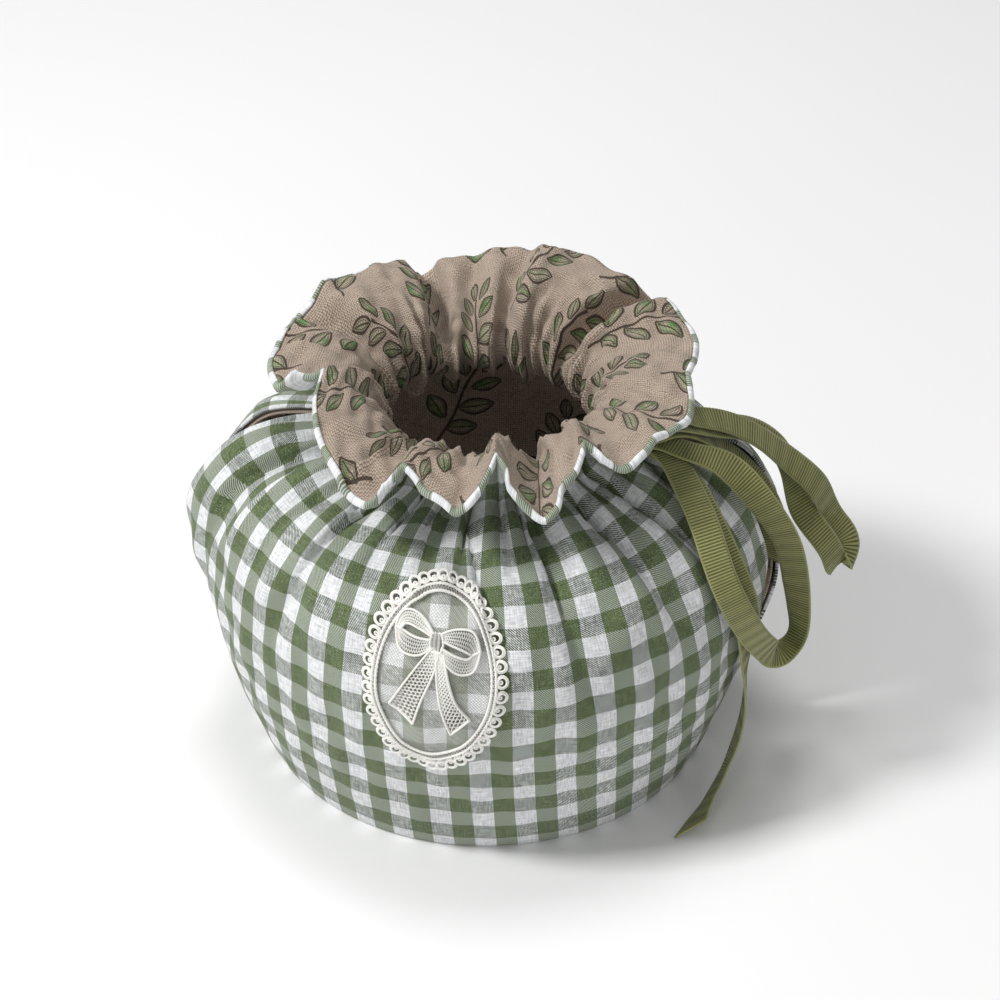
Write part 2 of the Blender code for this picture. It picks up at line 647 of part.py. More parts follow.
def build_ribbon(name, stations, slant=0.0):
    """A flat strip of ribbon through its stations, with its last end cut at a slant."""
    route = np.array([row[:3] for row in stations], float)
    wide = np.array([row[3:] for row in stations], float)
    wide /= np.linalg.norm(wide, axis=1)[:, None]
    knots = chord_knots(route)
    length = np.linalg.norm(np.diff(route, axis=0), axis=1).sum()
    at = np.linspace(0.0, 1.0, round(length / RIBBON_PITCH) + 1)
    centre = np.stack([natural_spline(knots, route[:, i], at) for i in range(3)], axis=1)
    across = np.stack([np.interp(at, knots, wide[:, i]) for i in range(3)], axis=1)
    run = np.gradient(centre, axis=0)
    run /= np.linalg.norm(run, axis=1)[:, None]
    across -= run * (across * run).sum(axis=1)[:, None]
    across /= np.linalg.norm(across, axis=1)[:, None]
    through = np.cross(run, across)
    mesh = bmesh.new()
    sections = []
    for i, point in enumerate(centre):
        corners = []
        cut = slant if i == len(centre) - 1 else 0.0
        for a, b in ((-1, -1), (1, -1), (1, 1), (-1, 1)):
            edge = across[i] * RIBBON_WIDTH / 2 + run[i] * cut
            face = through[i] * RIBBON_THICKNESS / 2
            corners.append(mesh.verts.new((point + a * edge + b * face) * MM))
        sections.append(corners)
    for first, second in zip(sections, sections[1:]):
        for i in range(4):
            after = (i + 1) % 4
            mesh.faces.new((first[i], first[after], second[after], second[i]))
    mesh.faces.new(sections[0][::-1])
    mesh.faces.new(sections[-1])
    return finished(name, mesh, RIBBON_OLIVE)


def main():
    """Clear the scene and build every piece."""
    for old in list(bpy.data.objects):
        bpy.data.objects.remove(old, do_unlink=True)
    build_cover()
    build_lining()
    build_medallion()
    build_knot()
    for name, stations in RIBBONS.items():
        build_ribbon(name, stations, TAIL_SLANT if "tail" in name else 0.0)


main()
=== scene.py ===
"""Looks of a gathered tea cosy: checked cloth, printed lining, a lace oval and a tied ribbon.

The cloth pieces are grids that are laid on the same folded surface as the solids, only finer, and
then thickened. Tables hold millimetres and degrees, and every mesh is in metres.
"""

import logging
import math
from dataclasses import dataclass, field
from enum import Enum
from functools import partialmethod
from typing import Callable, NamedTuple, Optional, Sequence, Union

import bmesh
import bpy
import numpy as np
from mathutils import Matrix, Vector

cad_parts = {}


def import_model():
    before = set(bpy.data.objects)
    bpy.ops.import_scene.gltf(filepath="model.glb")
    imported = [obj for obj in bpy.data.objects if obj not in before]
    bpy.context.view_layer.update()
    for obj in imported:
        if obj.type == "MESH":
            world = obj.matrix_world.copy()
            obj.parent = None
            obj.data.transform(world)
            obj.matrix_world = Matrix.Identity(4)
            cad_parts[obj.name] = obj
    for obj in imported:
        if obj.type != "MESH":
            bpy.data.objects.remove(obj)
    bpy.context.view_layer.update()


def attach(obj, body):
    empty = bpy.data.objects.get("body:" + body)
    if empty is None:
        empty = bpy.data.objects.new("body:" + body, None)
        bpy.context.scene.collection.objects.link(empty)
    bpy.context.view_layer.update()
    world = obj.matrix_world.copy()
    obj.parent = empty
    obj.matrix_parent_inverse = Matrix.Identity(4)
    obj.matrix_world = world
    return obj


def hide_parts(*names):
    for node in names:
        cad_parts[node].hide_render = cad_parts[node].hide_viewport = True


LOG = logging.getLogger("tea_cosy")
MM = 0.001
TINY = 1e-6

Socket = Union[bpy.types.NodeSocket, float, tuple]
Colour = tuple[float, float, float, float]


class Station(NamedTuple):
    """A place on the plain wall, in millimetres."""

    name: str
    radius: float
    height: float


class Fold(NamedTuple):
    """A lobe or ridge of the ruffle's rim; keenness is 0 for a soft turn and 1 for a sharp one."""

    name: str
    azimuth: float
    radius: float
    height: float
    keenness: float


class Pleat(NamedTuple):
    """A pleat that runs down from the neck to its end on the belly."""

    name: str
    neck_azimuth: float
    end_azimuth: float
    depth: float
    width: float
    end: float


class Slit(NamedTuple):
    """A slit at the side, with the flares of its two edges."""

    name: str
    azimuth: float
    low: float
    high: float
    half_width: float
    front_flare: float
    back_flare: float
    back_peak: float
    spread: float


class Turn(NamedTuple):
    """A station of a ribbon's route, and the direction of the ribbon's width there."""

    x: float
    y: float
    z: float
    wide_x: float
    wide_y: float
    wide_z: float


class FarEnd(Enum):
    """What is at the far end of a ribbon strand."""

    FREE = "bare"
    TIED = "object"


BODY = (
    Station("hem", 79.0, 0.0),
    Station("skirt", 86.0, 19.0),
    Station("low belly", 92.0, 40.0),
    Station("belly", 95.5, 62.0),
    Station("high belly", 95.0, 81.0),
    Station("shoulder", 90.0, 98.0),
    Station("slope", 80.0, 110.5),
    Station("yoke", 66.0, 117.5),
    Station("gathers", 51.0, 119.8),
    Station("neck turn", 42.0, 121.5),
    Station("neck", 39.0, 127.0),
)
RIM = (
    Fold("left ridge", -154.0, 57.0, 156.0, 1.0),
    Fold("left flank", -138.0, 68.0, 150.5, 0.9),
    Fold("left front side", -123.0, 75.5, 144.0, 0.9),
    Fold("left front lobe", -111.0, 79.5, 136.5, 0.4),
    Fold("left front ridge", -105.0, 67.0, 148.0, 1.0),
    Fold("front side", -96.0, 74.0, 144.5, 0.9),
    Fold("front lobe", -87.0, 76.5, 140.5, 0.2),
    Fold("front ridge", -78.0, 61.0, 152.5, 1.0),
    Fold("right front lobe", -67.5, 79.5, 136.5, 0.4),
    Fold("right front side", -57.5, 71.0, 146.0, 0.9),
    Fold("right front ridge", -50.0, 63.0, 151.0, 1.0),
    Fold("right lobe", -41.0, 74.5, 144.5, 0.2),
    Fold("right flank", -30.0, 72.0, 147.0, 0.8),
    Fold("tie lobe", -15.0, 74.5, 145.0, 0.2),
    Fold("right ridge", 1.0, 69.5, 148.5, 1.0),
    Fold("right back lobe", 25.0, 75.0, 147.0, 0.4),
    Fold("right back corner", 39.0, 73.5, 150.5, 0.9),
    Fold("right back valley", 47.0, 77.0, 141.0, 0.5),
    Fold("back right corner", 51.5, 69.0, 152.5, 1.0),
    Fold("back right lobe", 66.0, 67.0, 155.0, 0.4),
    Fold("back corner", 79.5, 64.5, 158.0, 0.8),
    Fold("back step", 85.5, 72.0, 149.0, 0.8),
    Fold("back lobe", 96.0, 71.0, 151.0, 0.4),
    Fold("back crease", 102.0, 75.5, 143.0, 0.7),
    Fold("back left lobe", 109.0, 73.5, 146.0, 0.4),
    Fold("back left valley", 116.5, 77.5, 136.5, 0.6),
    Fold("left back corner", 122.0, 74.0, 146.5, 0.8),
    Fold("left back lobe", 136.0, 71.0, 150.5, 0.4),
    Fold("left back end", 152.0, 71.0, 153.0, 0.9),
    Fold("left crease", 162.0, 74.0, 145.5, 0.8),
    Fold("spout lobe start", 171.0, 70.0, 151.5, 0.7),
    Fold("spout lobe", 189.0, 74.0, 147.5, 0.3),
    Fold("spout lobe end", 200.0, 72.0, 147.5, 0.9),
)
PLEATS = (
    Pleat("beside the left slit", -160.0, -168.0, 3.2, 6.0, 0.42),
    Pleat("left ridge", -148.0, -153.0, -2.4, 5.0, 0.50),
    Pleat("left thin", -137.0, -141.0, 2.4, 4.0, 0.58),
    Pleat("left main", -122.0, -131.0, 3.6, 5.0, 0.40),
    Pleat("left small", -109.0, -113.0, 2.0, 4.0, 0.60),
    Pleat("over the medallion", -97.0, -99.0, 1.8, 4.0, 0.70),
    Pleat("beside the medallion", -88.0, -77.0, 2.6, 4.5, 0.52),
    Pleat("front right", -66.0, -59.0, 3.4, 5.0, 0.40),
    Pleat("right main", -47.0, -34.0, 3.4, 5.0, 0.42),
    Pleat("right upper", -31.0, -17.0, 3.2, 5.0, 0.50),
    Pleat("behind the right slit", 22.0, 27.0, 3.0, 6.0, 0.45),
    Pleat("right back", 43.0, 47.0, 3.2, 5.0, 0.48),
    Pleat("right back small", 61.0, 62.0, 2.2, 4.5, 0.60),
    Pleat("back", 79.0, 80.0, 3.2, 5.0, 0.45),
    Pleat("back left small", 98.0, 97.0, 2.4, 4.5, 0.58),
    Pleat("back left", 117.0, 113.0, 3.4, 5.0, 0.46),
    Pleat("left back", 139.0, 134.0, 3.0, 5.0, 0.50),
    Pleat("behind the left slit", 158.0, 153.0, 2.6, 5.0, 0.52),
)
SLITS = (
    Slit("spout slit", 181.0, 0.32, 0.93, 9.0, 11.0, 3.0, 0.5, 21.0),
    Slit("handle slit", 3.0, 0.21, 0.93, 8.5, 4.0, 8.0, 0.3, 21.0),
)
# Furrows and ridges that run from these places of the rim towards the neck, and their depths.
FURROWS = {
    "left crease": 9.5,
    "left back corner": -3.5,
    "back left valley": 10.0,
    "back crease": 4.5,
    "back step": 5.0,
    "back corner": -2.0,
    "right back valley": 7.0,
    "right back corner": -2.0,
}


def smoothstep(value: np.ndarray) -> np.ndarray:
    """Ease from 0 to 1, held outside that range."""
    clipped = np.clip(value, 0.0, 1.0)
    return clipped * clipped * (3.0 - 2.0 * clipped)


def wrapped(degrees: np.ndarray) -> np.ndarray:
    """The same direction between -180 and 180 degrees."""
    return (np.asarray(degrees, float) + 180.0) % 360.0 - 180.0


def chain_lengths(points: Sequence[Sequence[float]]) -> np.ndarray:
    """Length along a chain of points at each of them, from 0."""
    steps = np.linalg.norm(np.diff(np.asarray(points, float), axis=0), axis=1)
    return np.concatenate([[0.0], np.cumsum(steps)])


def chord_knots(points: Sequence[Sequence[float]]) -> np.ndarray:
    """Length along a chain of points, scaled to run from 0 to 1."""
    lengths = chain_lengths(points)
    return lengths / lengths[-1]


def unit(vectors: np.ndarray) -> np.ndarray:
    """The same directions with a length of 1, in the last axis."""
    return vectors / np.linalg.norm(vectors, axis=-1, keepdims=True)


def natural_spline(knots: np.ndarray, values: Sequence[float], at: np.ndarray) -> np.ndarray:
    """Natural cubic spline.

    Args:
        knots: rising places of the values.
        values: the numbers that the curve passes through.
        at: places to read, of any shape.

    Returns:
        The curve's values at those places.
    """
    values = np.asarray(values, float)
    step = np.diff(knots)
    slope = np.diff(values) / step
    matrix = np.eye(len(knots))
    right = np.zeros(len(knots))
    for i in range(1, len(knots) - 1):
        matrix[i, i - 1 : i + 2] = step[i - 1], 2.0 * (step[i - 1] + step[i]), step[i]
        right[i] = 6.0 * (slope[i] - slope[i - 1])
    bend = np.linalg.solve(matrix, right)
    i = np.clip(np.searchsorted(knots, at) - 1, 0, len(step) - 1)
    ahead = knots[i + 1] - at
    behind = at - knots[i]
    return (
        (bend[i] * ahead**3 + bend[i + 1] * behind**3) / (6.0 * step[i])
        + (values[i] / step[i] - bend[i] * step[i] / 6.0) * ahead
        + (values[i + 1] / step[i] - bend[i + 1] * step[i] / 6.0) * behind
    )


def cylinder_point(azimuth: np.ndarray, radius: np.ndarray, height: np.ndarray) -> np.ndarray:
    """Points in space from degrees and millimetres."""
    angle = np.radians(azimuth)
    return np.stack([radius * np.cos(angle), radius * np.sin(angle), height + 0.0 * angle], axis=-1)


@dataclass
class FoldedSurface:
    """The surface where the cover and the lining meet, with its pleats, slits, ruffle and gathers.

    A place counts rows of RIM round the cosy, and v runs from 0 at the hem over 1 at the neck to 2
    at the rim.
    """

    ruffle_length: float = 50.0
    ruffle_rise: float = 9.0
    ruffle_rise_share: float = 0.55
    ruffle_reach_share: float = 0.5
    ruffle_droop: float = 1.0
    neck_lean: float = 0.5
    pleat_peak: float = 0.86
    pleat_neck_share: float = 0.5
    pleat_gain: float = 2.2
    pleat_rise_power: float = 0.6
    pleat_slide: float = 1.0
    pleat_edge_power: float = 1.1
    pleat_end_width: float = 1.35
    pleat_taper: float = 0.6
    pleat_flanks: tuple[float, float] = (0.8, 1.5)
    slit_flare_peak: float = 0.55
    slit_end_power: float = 0.8
    gathers: int = 19
    gather_depth: float = 3.0
    gather_low: float = 0.77
    gather_low_run: float = 0.17
    gather_high: float = 1.10
    gather_high_run: float = 0.78
    crumple_depth: float = 0.3
    ruffle_crumple: float = 0.3
    crumple_waves: tuple = ((23, 19, 0.3), (-31, 27, 1.7), (17, -41, 2.9), (47, 13, 4.1))
    small_pleats_count: int = 30
    small_pleat_width: float = 2.6
    seed: int = 7
    furrow_width: float = 6.0
    hem_stretch: float = 6.0
    hem_stretch_height: float = 30.0
    steep_lift: float = 3.0
    step: float = 2e-3
    body_knots: np.ndarray = field(init=False)
    body_length: float = field(init=False)
    rim_lengths: np.ndarray = field(init=False)
    small_pleats: list[Pleat] = field(init=False)

    def __post_init__(self) -> None:
        """Measure the wall and the rim, and draw the small pleats under the neck."""
        self.body_knots = chord_knots([(row.radius, row.height) for row in BODY])
        self.body_length = sum(math.dist(a[1:], b[1:]) for a, b in zip(BODY, BODY[1:]))
        steps = 24
        places = np.linspace(0.0, len(RIM), len(RIM) * steps + 1)
        self.rim_lengths = chain_lengths(cylinder_point(*self.rim_fold(places, 1.0)))[::steps]
        chance = np.random.default_rng(self.seed)
        self.small_pleats = []
        for index in range(self.small_pleats_count):
            azimuth = -180.0 + 360.0 / self.small_pleats_count * index + chance.uniform(-3.0, 3.0)
            lean = chance.uniform(-2.5, 2.5)
            depth = chance.uniform(0.5, 1.3)
            end = chance.uniform(0.66, 0.82)
            small = Pleat("small", azimuth, azimuth + lean, depth, self.small_pleat_width, end)
            self.small_pleats.append(small)

    def body_curve(self, v: np.ndarray) -> tuple[np.ndarray, np.ndarray]:
        """Radius and height of the plain wall at v."""
        radius = natural_spline(self.body_knots, [row.radius for row in BODY], v)
        height = natural_spline(self.body_knots, [row.height for row in BODY], v)
        return radius, height

    def rim_fold(self, place: np.ndarray, keen_share: np.ndarray) -> list[np.ndarray]:
        """Azimuth, radius and height of the rim.

        Args:
            place: place in rows of RIM.
            keen_share: 1 keeps the sharp folds, and 0 leaves round waves only.

        Returns:
            The three columns, in degrees and millimetres.
        """
        turns = np.floor(np.asarray(place, float) / len(RIM))
        place = np.asarray(place, float) % len(RIM)
        first = np.floor(place).astype(int)
        share = place - first
        second = (first + 1) % len(RIM)
        keen = np.array([row.keenness for row in RIM])
        ease = share**2 * (3.0 - 2.0 * share)
        leave = share**3 - 2.0 * share**2 + share
        reach = share**3 - share**2
        columns = []
        for name in ("azimuth", "radius", "height"):
            values = np.array([getattr(row, name) for row in RIM])
            start = values[first]
            end = values[second]
            ends = (keen[first] * keen_share, keen[second] * keen_share)
            if name == "azimuth":
                end = end + np.where(second == 0, 360.0, 0.0)
                ends = (1.0, 1.0)
            chord = end - start
            columns.append(start + chord * (ease + ends[0] * leave + ends[1] * reach))
        columns[0] = columns[0] + 360.0 * turns
        return columns

    def cloth_azimuth(self, place: np.ndarray) -> np.ndarray:
        """Azimuth on the body of the cloth that reaches the rim at this place."""
        turns = np.floor(np.asarray(place, float) / len(RIM))
        within = place - turns * len(RIM)
        length = np.interp(within, np.arange(len(self.rim_lengths)), self.rim_lengths)
        return RIM[0].azimuth + 360.0 * (turns + length / self.rim_lengths[-1])

    def place_at(self, azimuth: np.ndarray) -> np.ndarray:
        """Place of the cloth at a body azimuth."""
        length = (np.asarray(azimuth) - RIM[0].azimuth) % 360.0 / 360.0 * self.rim_lengths[-1]
        return np.interp(length, self.rim_lengths, np.arange(len(self.rim_lengths)))

    def pleat_shape(self, azimuth: np.ndarray, v: np.ndarray) -> tuple[np.ndarray, np.ndarray]:
        """How far the pleats pull the wall in, and how far they slide it sideways in degrees."""
        depth = np.zeros_like(azimuth)
        slide = np.zeros_like(azimuth)
        for row in (*PLEATS, *self.small_pleats):
            run = np.clip((v - row.end) / (1.0 - row.end), 0.0, 1.0)
            centre = row.end_azimuth + (row.neck_azimuth - row.end_azimuth) * run
            width = row.width * (self.pleat_end_width - self.pleat_taper * run)
            rise = smoothstep((v - row.end) / (self.pleat_peak - row.end)) ** self.pleat_rise_power
            fade = 1.0 - (1.0 - self.pleat_neck_share) * smoothstep(
                (v - self.pleat_peak) / (1.0 - self.pleat_peak)
            )
            across = wrapped(azimuth - centre) / width
            across = across * np.where(across > 0.0, *self.pleat_flanks)
            shape = np.exp(-np.abs(across) ** self.pleat_edge_power) * rise * fade
            depth = depth + row.depth * self.pleat_gain * shape
            slide = slide - np.maximum(row.depth, 0.0) * self.pleat_slide * shape
        return depth, slide

    def slit_shape(
        self, azimuth: np.ndarray, v: np.ndarray, side: np.ndarray
    ) -> tuple[np.ndarray, np.ndarray]:
        """Sideways shift in degrees and outward flare in millimetres beside the slits."""
        shift = np.zeros_like(azimuth)
        flare = np.zeros_like(azimuth)
        for row in SLITS:
            run = np.clip((v - row.low) / (row.high - row.low), 0.0, 1.0)
            lens = np.sin(math.pi * run) ** self.slit_end_power
            away = wrapped(azimuth - row.azimuth)
            sign = np.where(np.abs(away) < TINY, side, np.sign(away))
            near = np.exp(-((away / row.spread) ** 2))
            shift = shift + sign * row.half_width * lens * near
            to_front = (sign > 0) == (math.cos(math.radians(row.azimuth)) < 0)
            peak = np.where(to_front, self.slit_flare_peak, row.back_peak)
            lift = np.where(to_front, row.front_flare, row.back_flare)
            flare = flare + lift * np.sin(math.pi * run ** (np.log(0.5) / np.log(peak))) * near**2
        return shift, flare

    def pucker(self, azimuth: np.ndarray, v: np.ndarray) -> np.ndarray:
        """Small furrows of the drawn-in cloth round the neck, and a faint crumple all over."""
        angle = np.radians(azimuth)
        phase = self.gathers * angle + 0.9 * np.sin(5.0 * angle + 1.0) + 0.7 * np.sin(11.0 * angle)
        furrow = np.abs(np.sin(phase)) ** 0.7 - 0.6
        below = smoothstep((v - self.gather_low) / self.gather_low_run)
        above = 1.0 - smoothstep((v - self.gather_high) / self.gather_high_run)
        gather = self.gather_depth * furrow * below * above
        up = np.sin(math.pi * np.clip(v - 1.0, 0.0, 1.0)) ** 0.8
        for index, row in enumerate(RIM):
            if row.name in FURROWS:
                away = wrapped(azimuth - self.cloth_azimuth(index)) / self.furrow_width
                gather = gather + FURROWS[row.name] * np.exp(-(away**2)) * up
        crumple = np.zeros_like(angle)
        for turns, rows, start in self.crumple_waves:
            crumple = crumple + np.sin(turns * angle + rows * v + start)
        crumple = crumple * np.minimum(v * 3.0, 1.0) * (1.0 + self.ruffle_crumple * smoothstep(v - 1.0))
        return gather + self.crumple_depth * crumple

    def surface(self, place: np.ndarray, v: np.ndarray, side: np.ndarray) -> list[np.ndarray]:
        """Azimuth, radius and height of the meeting surface.

        Args:
            place: place round the cosy.
            v: place up the cloth, of the same shape.
            side: -1 or +1 for the two edges of a slit.

        Returns:
            Three arrays, in degrees and millimetres.
        """
        base = self.cloth_azimuth(place)
        low = np.clip(v, 0.0, 1.0)
        radius, height = self.body_curve(low)
        ahead = self.body_curve(np.minimum(low + self.step / 10, 1.0))
        back = self.body_curve(np.maximum(low - self.step / 10, 0.0))
        along = (ahead[0] - back[0], ahead[1] - back[1])
        length = np.hypot(*along)
        shift, flare = self.slit_shape(base, low, side)
        depth, slide = self.pleat_shape(base, low)
        push = flare - depth
        shift = shift + slide
        radius = radius + push * along[1] / length
        height = height - push * along[0] / length
        t = np.clip(v - 1.0, 0.0, 1.0)
        rim_azimuth, rim_radius, rim_height = self.rim_fold(place, t)
        rise = self.ruffle_rise + self.ruffle_rise_share * (rim_height - height)
        reach = self.ruffle_reach_share * (rim_radius - radius)
        weights = ((1 - t) ** 3, 3 * (1 - t) ** 2 * t, 3 * (1 - t) * t**2, t**3)
        radii = (radius, radius - self.neck_lean, rim_radius - reach, rim_radius)
        heights = (height, height + rise, rim_height + self.ruffle_droop, rim_height)
        up_radius = sum(weight * value for weight, value in zip(weights, radii))
        up_height = sum(weight * value for weight, value in zip(weights, heights))
        return [base + shift + (rim_azimuth - base) * smoothstep(t), up_radius, up_height]

    def point(self, place: np.ndarray, v: np.ndarray, lift: np.ndarray, side: np.ndarray) -> np.ndarray:
        """Points lifted off the surface in their meridian planes.

        Args:
            place: place round the cosy.
            v: place up the cloth.
            lift: distance from the meeting surface in millimetres, outwards above 0.
            side: -1 or +1 for the two edges of a slit.

        Returns:
            Points in metres, with a last axis of three.
        """
        azimuth, radius, height = self.surface(place, v, side)
        here = cylinder_point(azimuth, radius, height)
        up = self.surface(place, np.minimum(v + self.step, 2.0), side)
        down = self.surface(place, np.maximum(v - self.step, 0.0), side)
        run = (up[1] - down[1], up[2] - down[2])
        length = np.hypot(*run)
        out_radius = run[1] / length
        out_height = -run[0] / length
        beside = cylinder_point(*self.surface(place + self.step, v, np.ones_like(side)))
        normal = unit(np.cross(beside - here, cylinder_point(*up) - cylinder_point(*down)))
        outward = cylinder_point(azimuth, out_radius, out_height)
        steep = np.maximum((normal * outward).sum(axis=-1), 1.0 / self.steep_lift)
        reach = lift / steep + self.pucker(self.cloth_azimuth(place), v)
        return cylinder_point(azimuth, radius + reach * out_radius, height + reach * out_height) * MM

    def flat_rows(self, v: np.ndarray) -> tuple[np.ndarray, np.ndarray]:
        """The flat cut's rows, in metres.

        Args:
            v: places up the cloth.

        Returns:
            Metres across the cut for a degree of the wall, and metres up from the hem.
        """
        radius, _ = self.body_curve(np.minimum(v, self.belly_share))
        up = np.minimum(v, 1.0) * self.body_length + np.maximum(v - 1.0, 0.0) * self.ruffle_length
        up = up + self.hem_stretch * np.maximum(1.0 - up / self.hem_stretch_height, 0.0)
        return np.radians(radius) * MM, up * MM

    @property
    def belly_share(self) -> float:
        """v of the widest part of the wall."""
        names = [row.name for row in BODY]
        return float(self.body_knots[names.index("belly")])


class Graph:
    """A node tree that is filled by plain calls."""

    def __init__(self, tree: bpy.types.NodeTree) -> None:
        """Take the tree to fill."""
        self.tree = tree

    def put(self, socket: bpy.types.NodeSocket, value: Socket) -> None:
        """Link a socket to another, or set its value."""
        if isinstance(value, bpy.types.NodeSocket):
            self.tree.links.new(value, socket)
        elif isinstance(value, (int, float)) and hasattr(socket.default_value, "__len__"):
            socket.default_value = [value] * len(socket.default_value)
        else:
            socket.default_value = value

    def node(self, kind: str, inputs: Optional[dict] = None, **settings: object) -> bpy.types.Node:
        """Add a node.

        Args:
            kind: the node's type without its ShaderNode prefix.
            inputs: values or links by input name or index.
            settings: the node's own properties.

        Returns:
            The node.
        """
        made = self.tree.nodes.new("ShaderNode" + kind)
        for name, value in settings.items():
            setattr(made, name, value)
        for key, value in (inputs or {}).items():
            self.put(made.inputs[key], value)
        return made

    def math(self, operation: str, *values: Socket) -> bpy.types.NodeSocket:
        """A Math node's value."""
        made = self.node("Math", dict(enumerate(values)), operation=operation)
        return made.outputs[0]

    plus = partialmethod(math, "ADD")
    minus = partialmethod(math, "SUBTRACT")
    times = partialmethod(math, "MULTIPLY")
    over = partialmethod(math, "DIVIDE")
    scaled = partialmethod(math, "MULTIPLY_ADD")
    absolute = partialmethod(math, "ABSOLUTE")
    most = partialmethod(math, "MAXIMUM")
    above = partialmethod(math, "GREATER_THAN")
    below = partialmethod(math, "LESS_THAN")
    floor = partialmethod(math, "FLOOR")
    sine = partialmethod(math, "SINE")

    def humps(self, count: Socket) -> bpy.types.NodeSocket:
        """Round humps from 0 to 1, one to each whole number of the count."""
        return self.absolute(self.sine(self.times(count, math.pi)))

    def fade(self, value: Socket, low: float, high: float) -> bpy.types.NodeSocket:
        """A smooth step from 1 at low to 0 at high."""
        return self.minus(1.0, self.ease(value, low, high))

    def ease(self, value: Socket, low: float, high: float) -> bpy.types.NodeSocket:
        """A smooth step from 0 at low to 1 at high."""
        inputs = {"Value": value, "From Min": low, "From Max": high}
        made = self.node("MapRange", inputs, interpolation_type="SMOOTHSTEP")
        return made.outputs[0]

    def mix(self, share: Socket, first: Socket, second: Socket, blend: str = "MIX") -> bpy.types.NodeSocket:
        """A colour between two."""
        made = self.node("Mix", data_type="RGBA", blend_type=blend)
        self.put(made.inputs["Factor"], share)
        self.put(made.inputs["A"], first)
        self.put(made.inputs["B"], second)
        return made.outputs["Result"]

    def toned(self, colour: Socket, tone: Socket) -> bpy.types.NodeSocket:
        """A colour times a grey tone."""
        return self.mix(1.0, colour, self.join(tone, tone, tone), "MULTIPLY")

    def flat_place(self) -> tuple[bpy.types.NodeSocket, ...]:
        """The place on the flat cut in metres, and its two parts."""
        place = self.node("UVMap", uv_map="flat_cut").outputs[0]
        return place, *self.split(place)

    def turned(self, place: Socket, angle: Socket) -> bpy.types.NodeSocket:
        """A place turned about the Z axis, by radians."""
        inputs = {"Vector": place, "Angle": angle}
        return self.node("VectorRotate", inputs, rotation_type="Z_AXIS").outputs[0]

    def noise(self, place: Socket, scale: float, detail: float = 2.0) -> bpy.types.NodeSocket:
        """Noise from 0 to 1."""
        inputs = {"Vector": place, "Scale": scale, "Detail": detail}
        return self.node("TexNoise", inputs).outputs["Fac"]

    def split(self, place: Socket) -> tuple[bpy.types.NodeSocket, bpy.types.NodeSocket]:
        """The first two parts of a vector."""
        made = self.node("SeparateXYZ", {0: place})
        return made.outputs[0], made.outputs[1]

    def join(self, x: Socket, y: Socket, z: Socket = 0.0) -> bpy.types.NodeSocket:
        """A vector from its parts."""
        return self.node("CombineXYZ", {0: x, 1: y, 2: z}).outputs[0]

    def group(self, tree: bpy.types.NodeTree, **inputs: Socket) -> bpy.types.Node:
        """A group node; an input's name has _ for each space."""
        made = self.node("Group", node_tree=tree)
        for name, value in inputs.items():
            self.put(made.inputs[name.replace("_", " ")], value)
        return made


def new_group(
    name: str, inputs: dict[str, str], outputs: Sequence[str]
) -> tuple[Graph, dict, bpy.types.Node]:
    """An empty shader node group.

    Args:
        name: its name.
        inputs: socket kinds, Float or Vector, by input name.
        outputs: names of its float outputs.

    Returns:
        Its graph, its inputs' sockets by name and its output node.
    """
    tree = bpy.data.node_groups.new(name, "ShaderNodeTree")
    for label, kind in inputs.items():
        tree.interface.new_socket(name=label, in_out="INPUT", socket_type="NodeSocket" + kind)
    for label in outputs:
        tree.interface.new_socket(name=label, in_out="OUTPUT", socket_type="NodeSocketFloat")
    start = tree.nodes.new("NodeGroupInput")
    end = tree.nodes.new("NodeGroupOutput")
    return Graph(tree), {label: start.outputs[label] for label in inputs}, end


def weave_group() -> bpy.types.NodeTree:
    """Plain weave of round threads: height of the surface and a soft unevenness of the yarn."""
    graph, given, end = new_group(
        "plain_weave", {"Place": "Vector", "Pitch": "Float"}, ("Height", "Slub")
    )
    x, y = graph.split(given["Place"])
    across = graph.over(x, given["Pitch"])
    along = graph.over(y, given["Pitch"])
    warp = graph.humps(across)
    weft = graph.humps(along)
    cell = graph.plus(graph.floor(across), graph.floor(along))
    over = graph.math("FLOORED_MODULO", cell, 2.0)
    height = graph.node("Mix", {"Factor": over, "A": warp, "B": weft}, data_type="FLOAT").outputs[0]
    long_x = graph.noise(graph.join(graph.times(x, 0.12), y), 1900.0, 1.0)
    long_y = graph.noise(graph.join(x, graph.times(y, 0.12)), 1900.0, 1.0)
    graph.put(end.inputs["Height"], height)
    graph.put(end.inputs["Slub"], graph.times(graph.plus(long_x, long_y), 0.5))
    return graph.tree


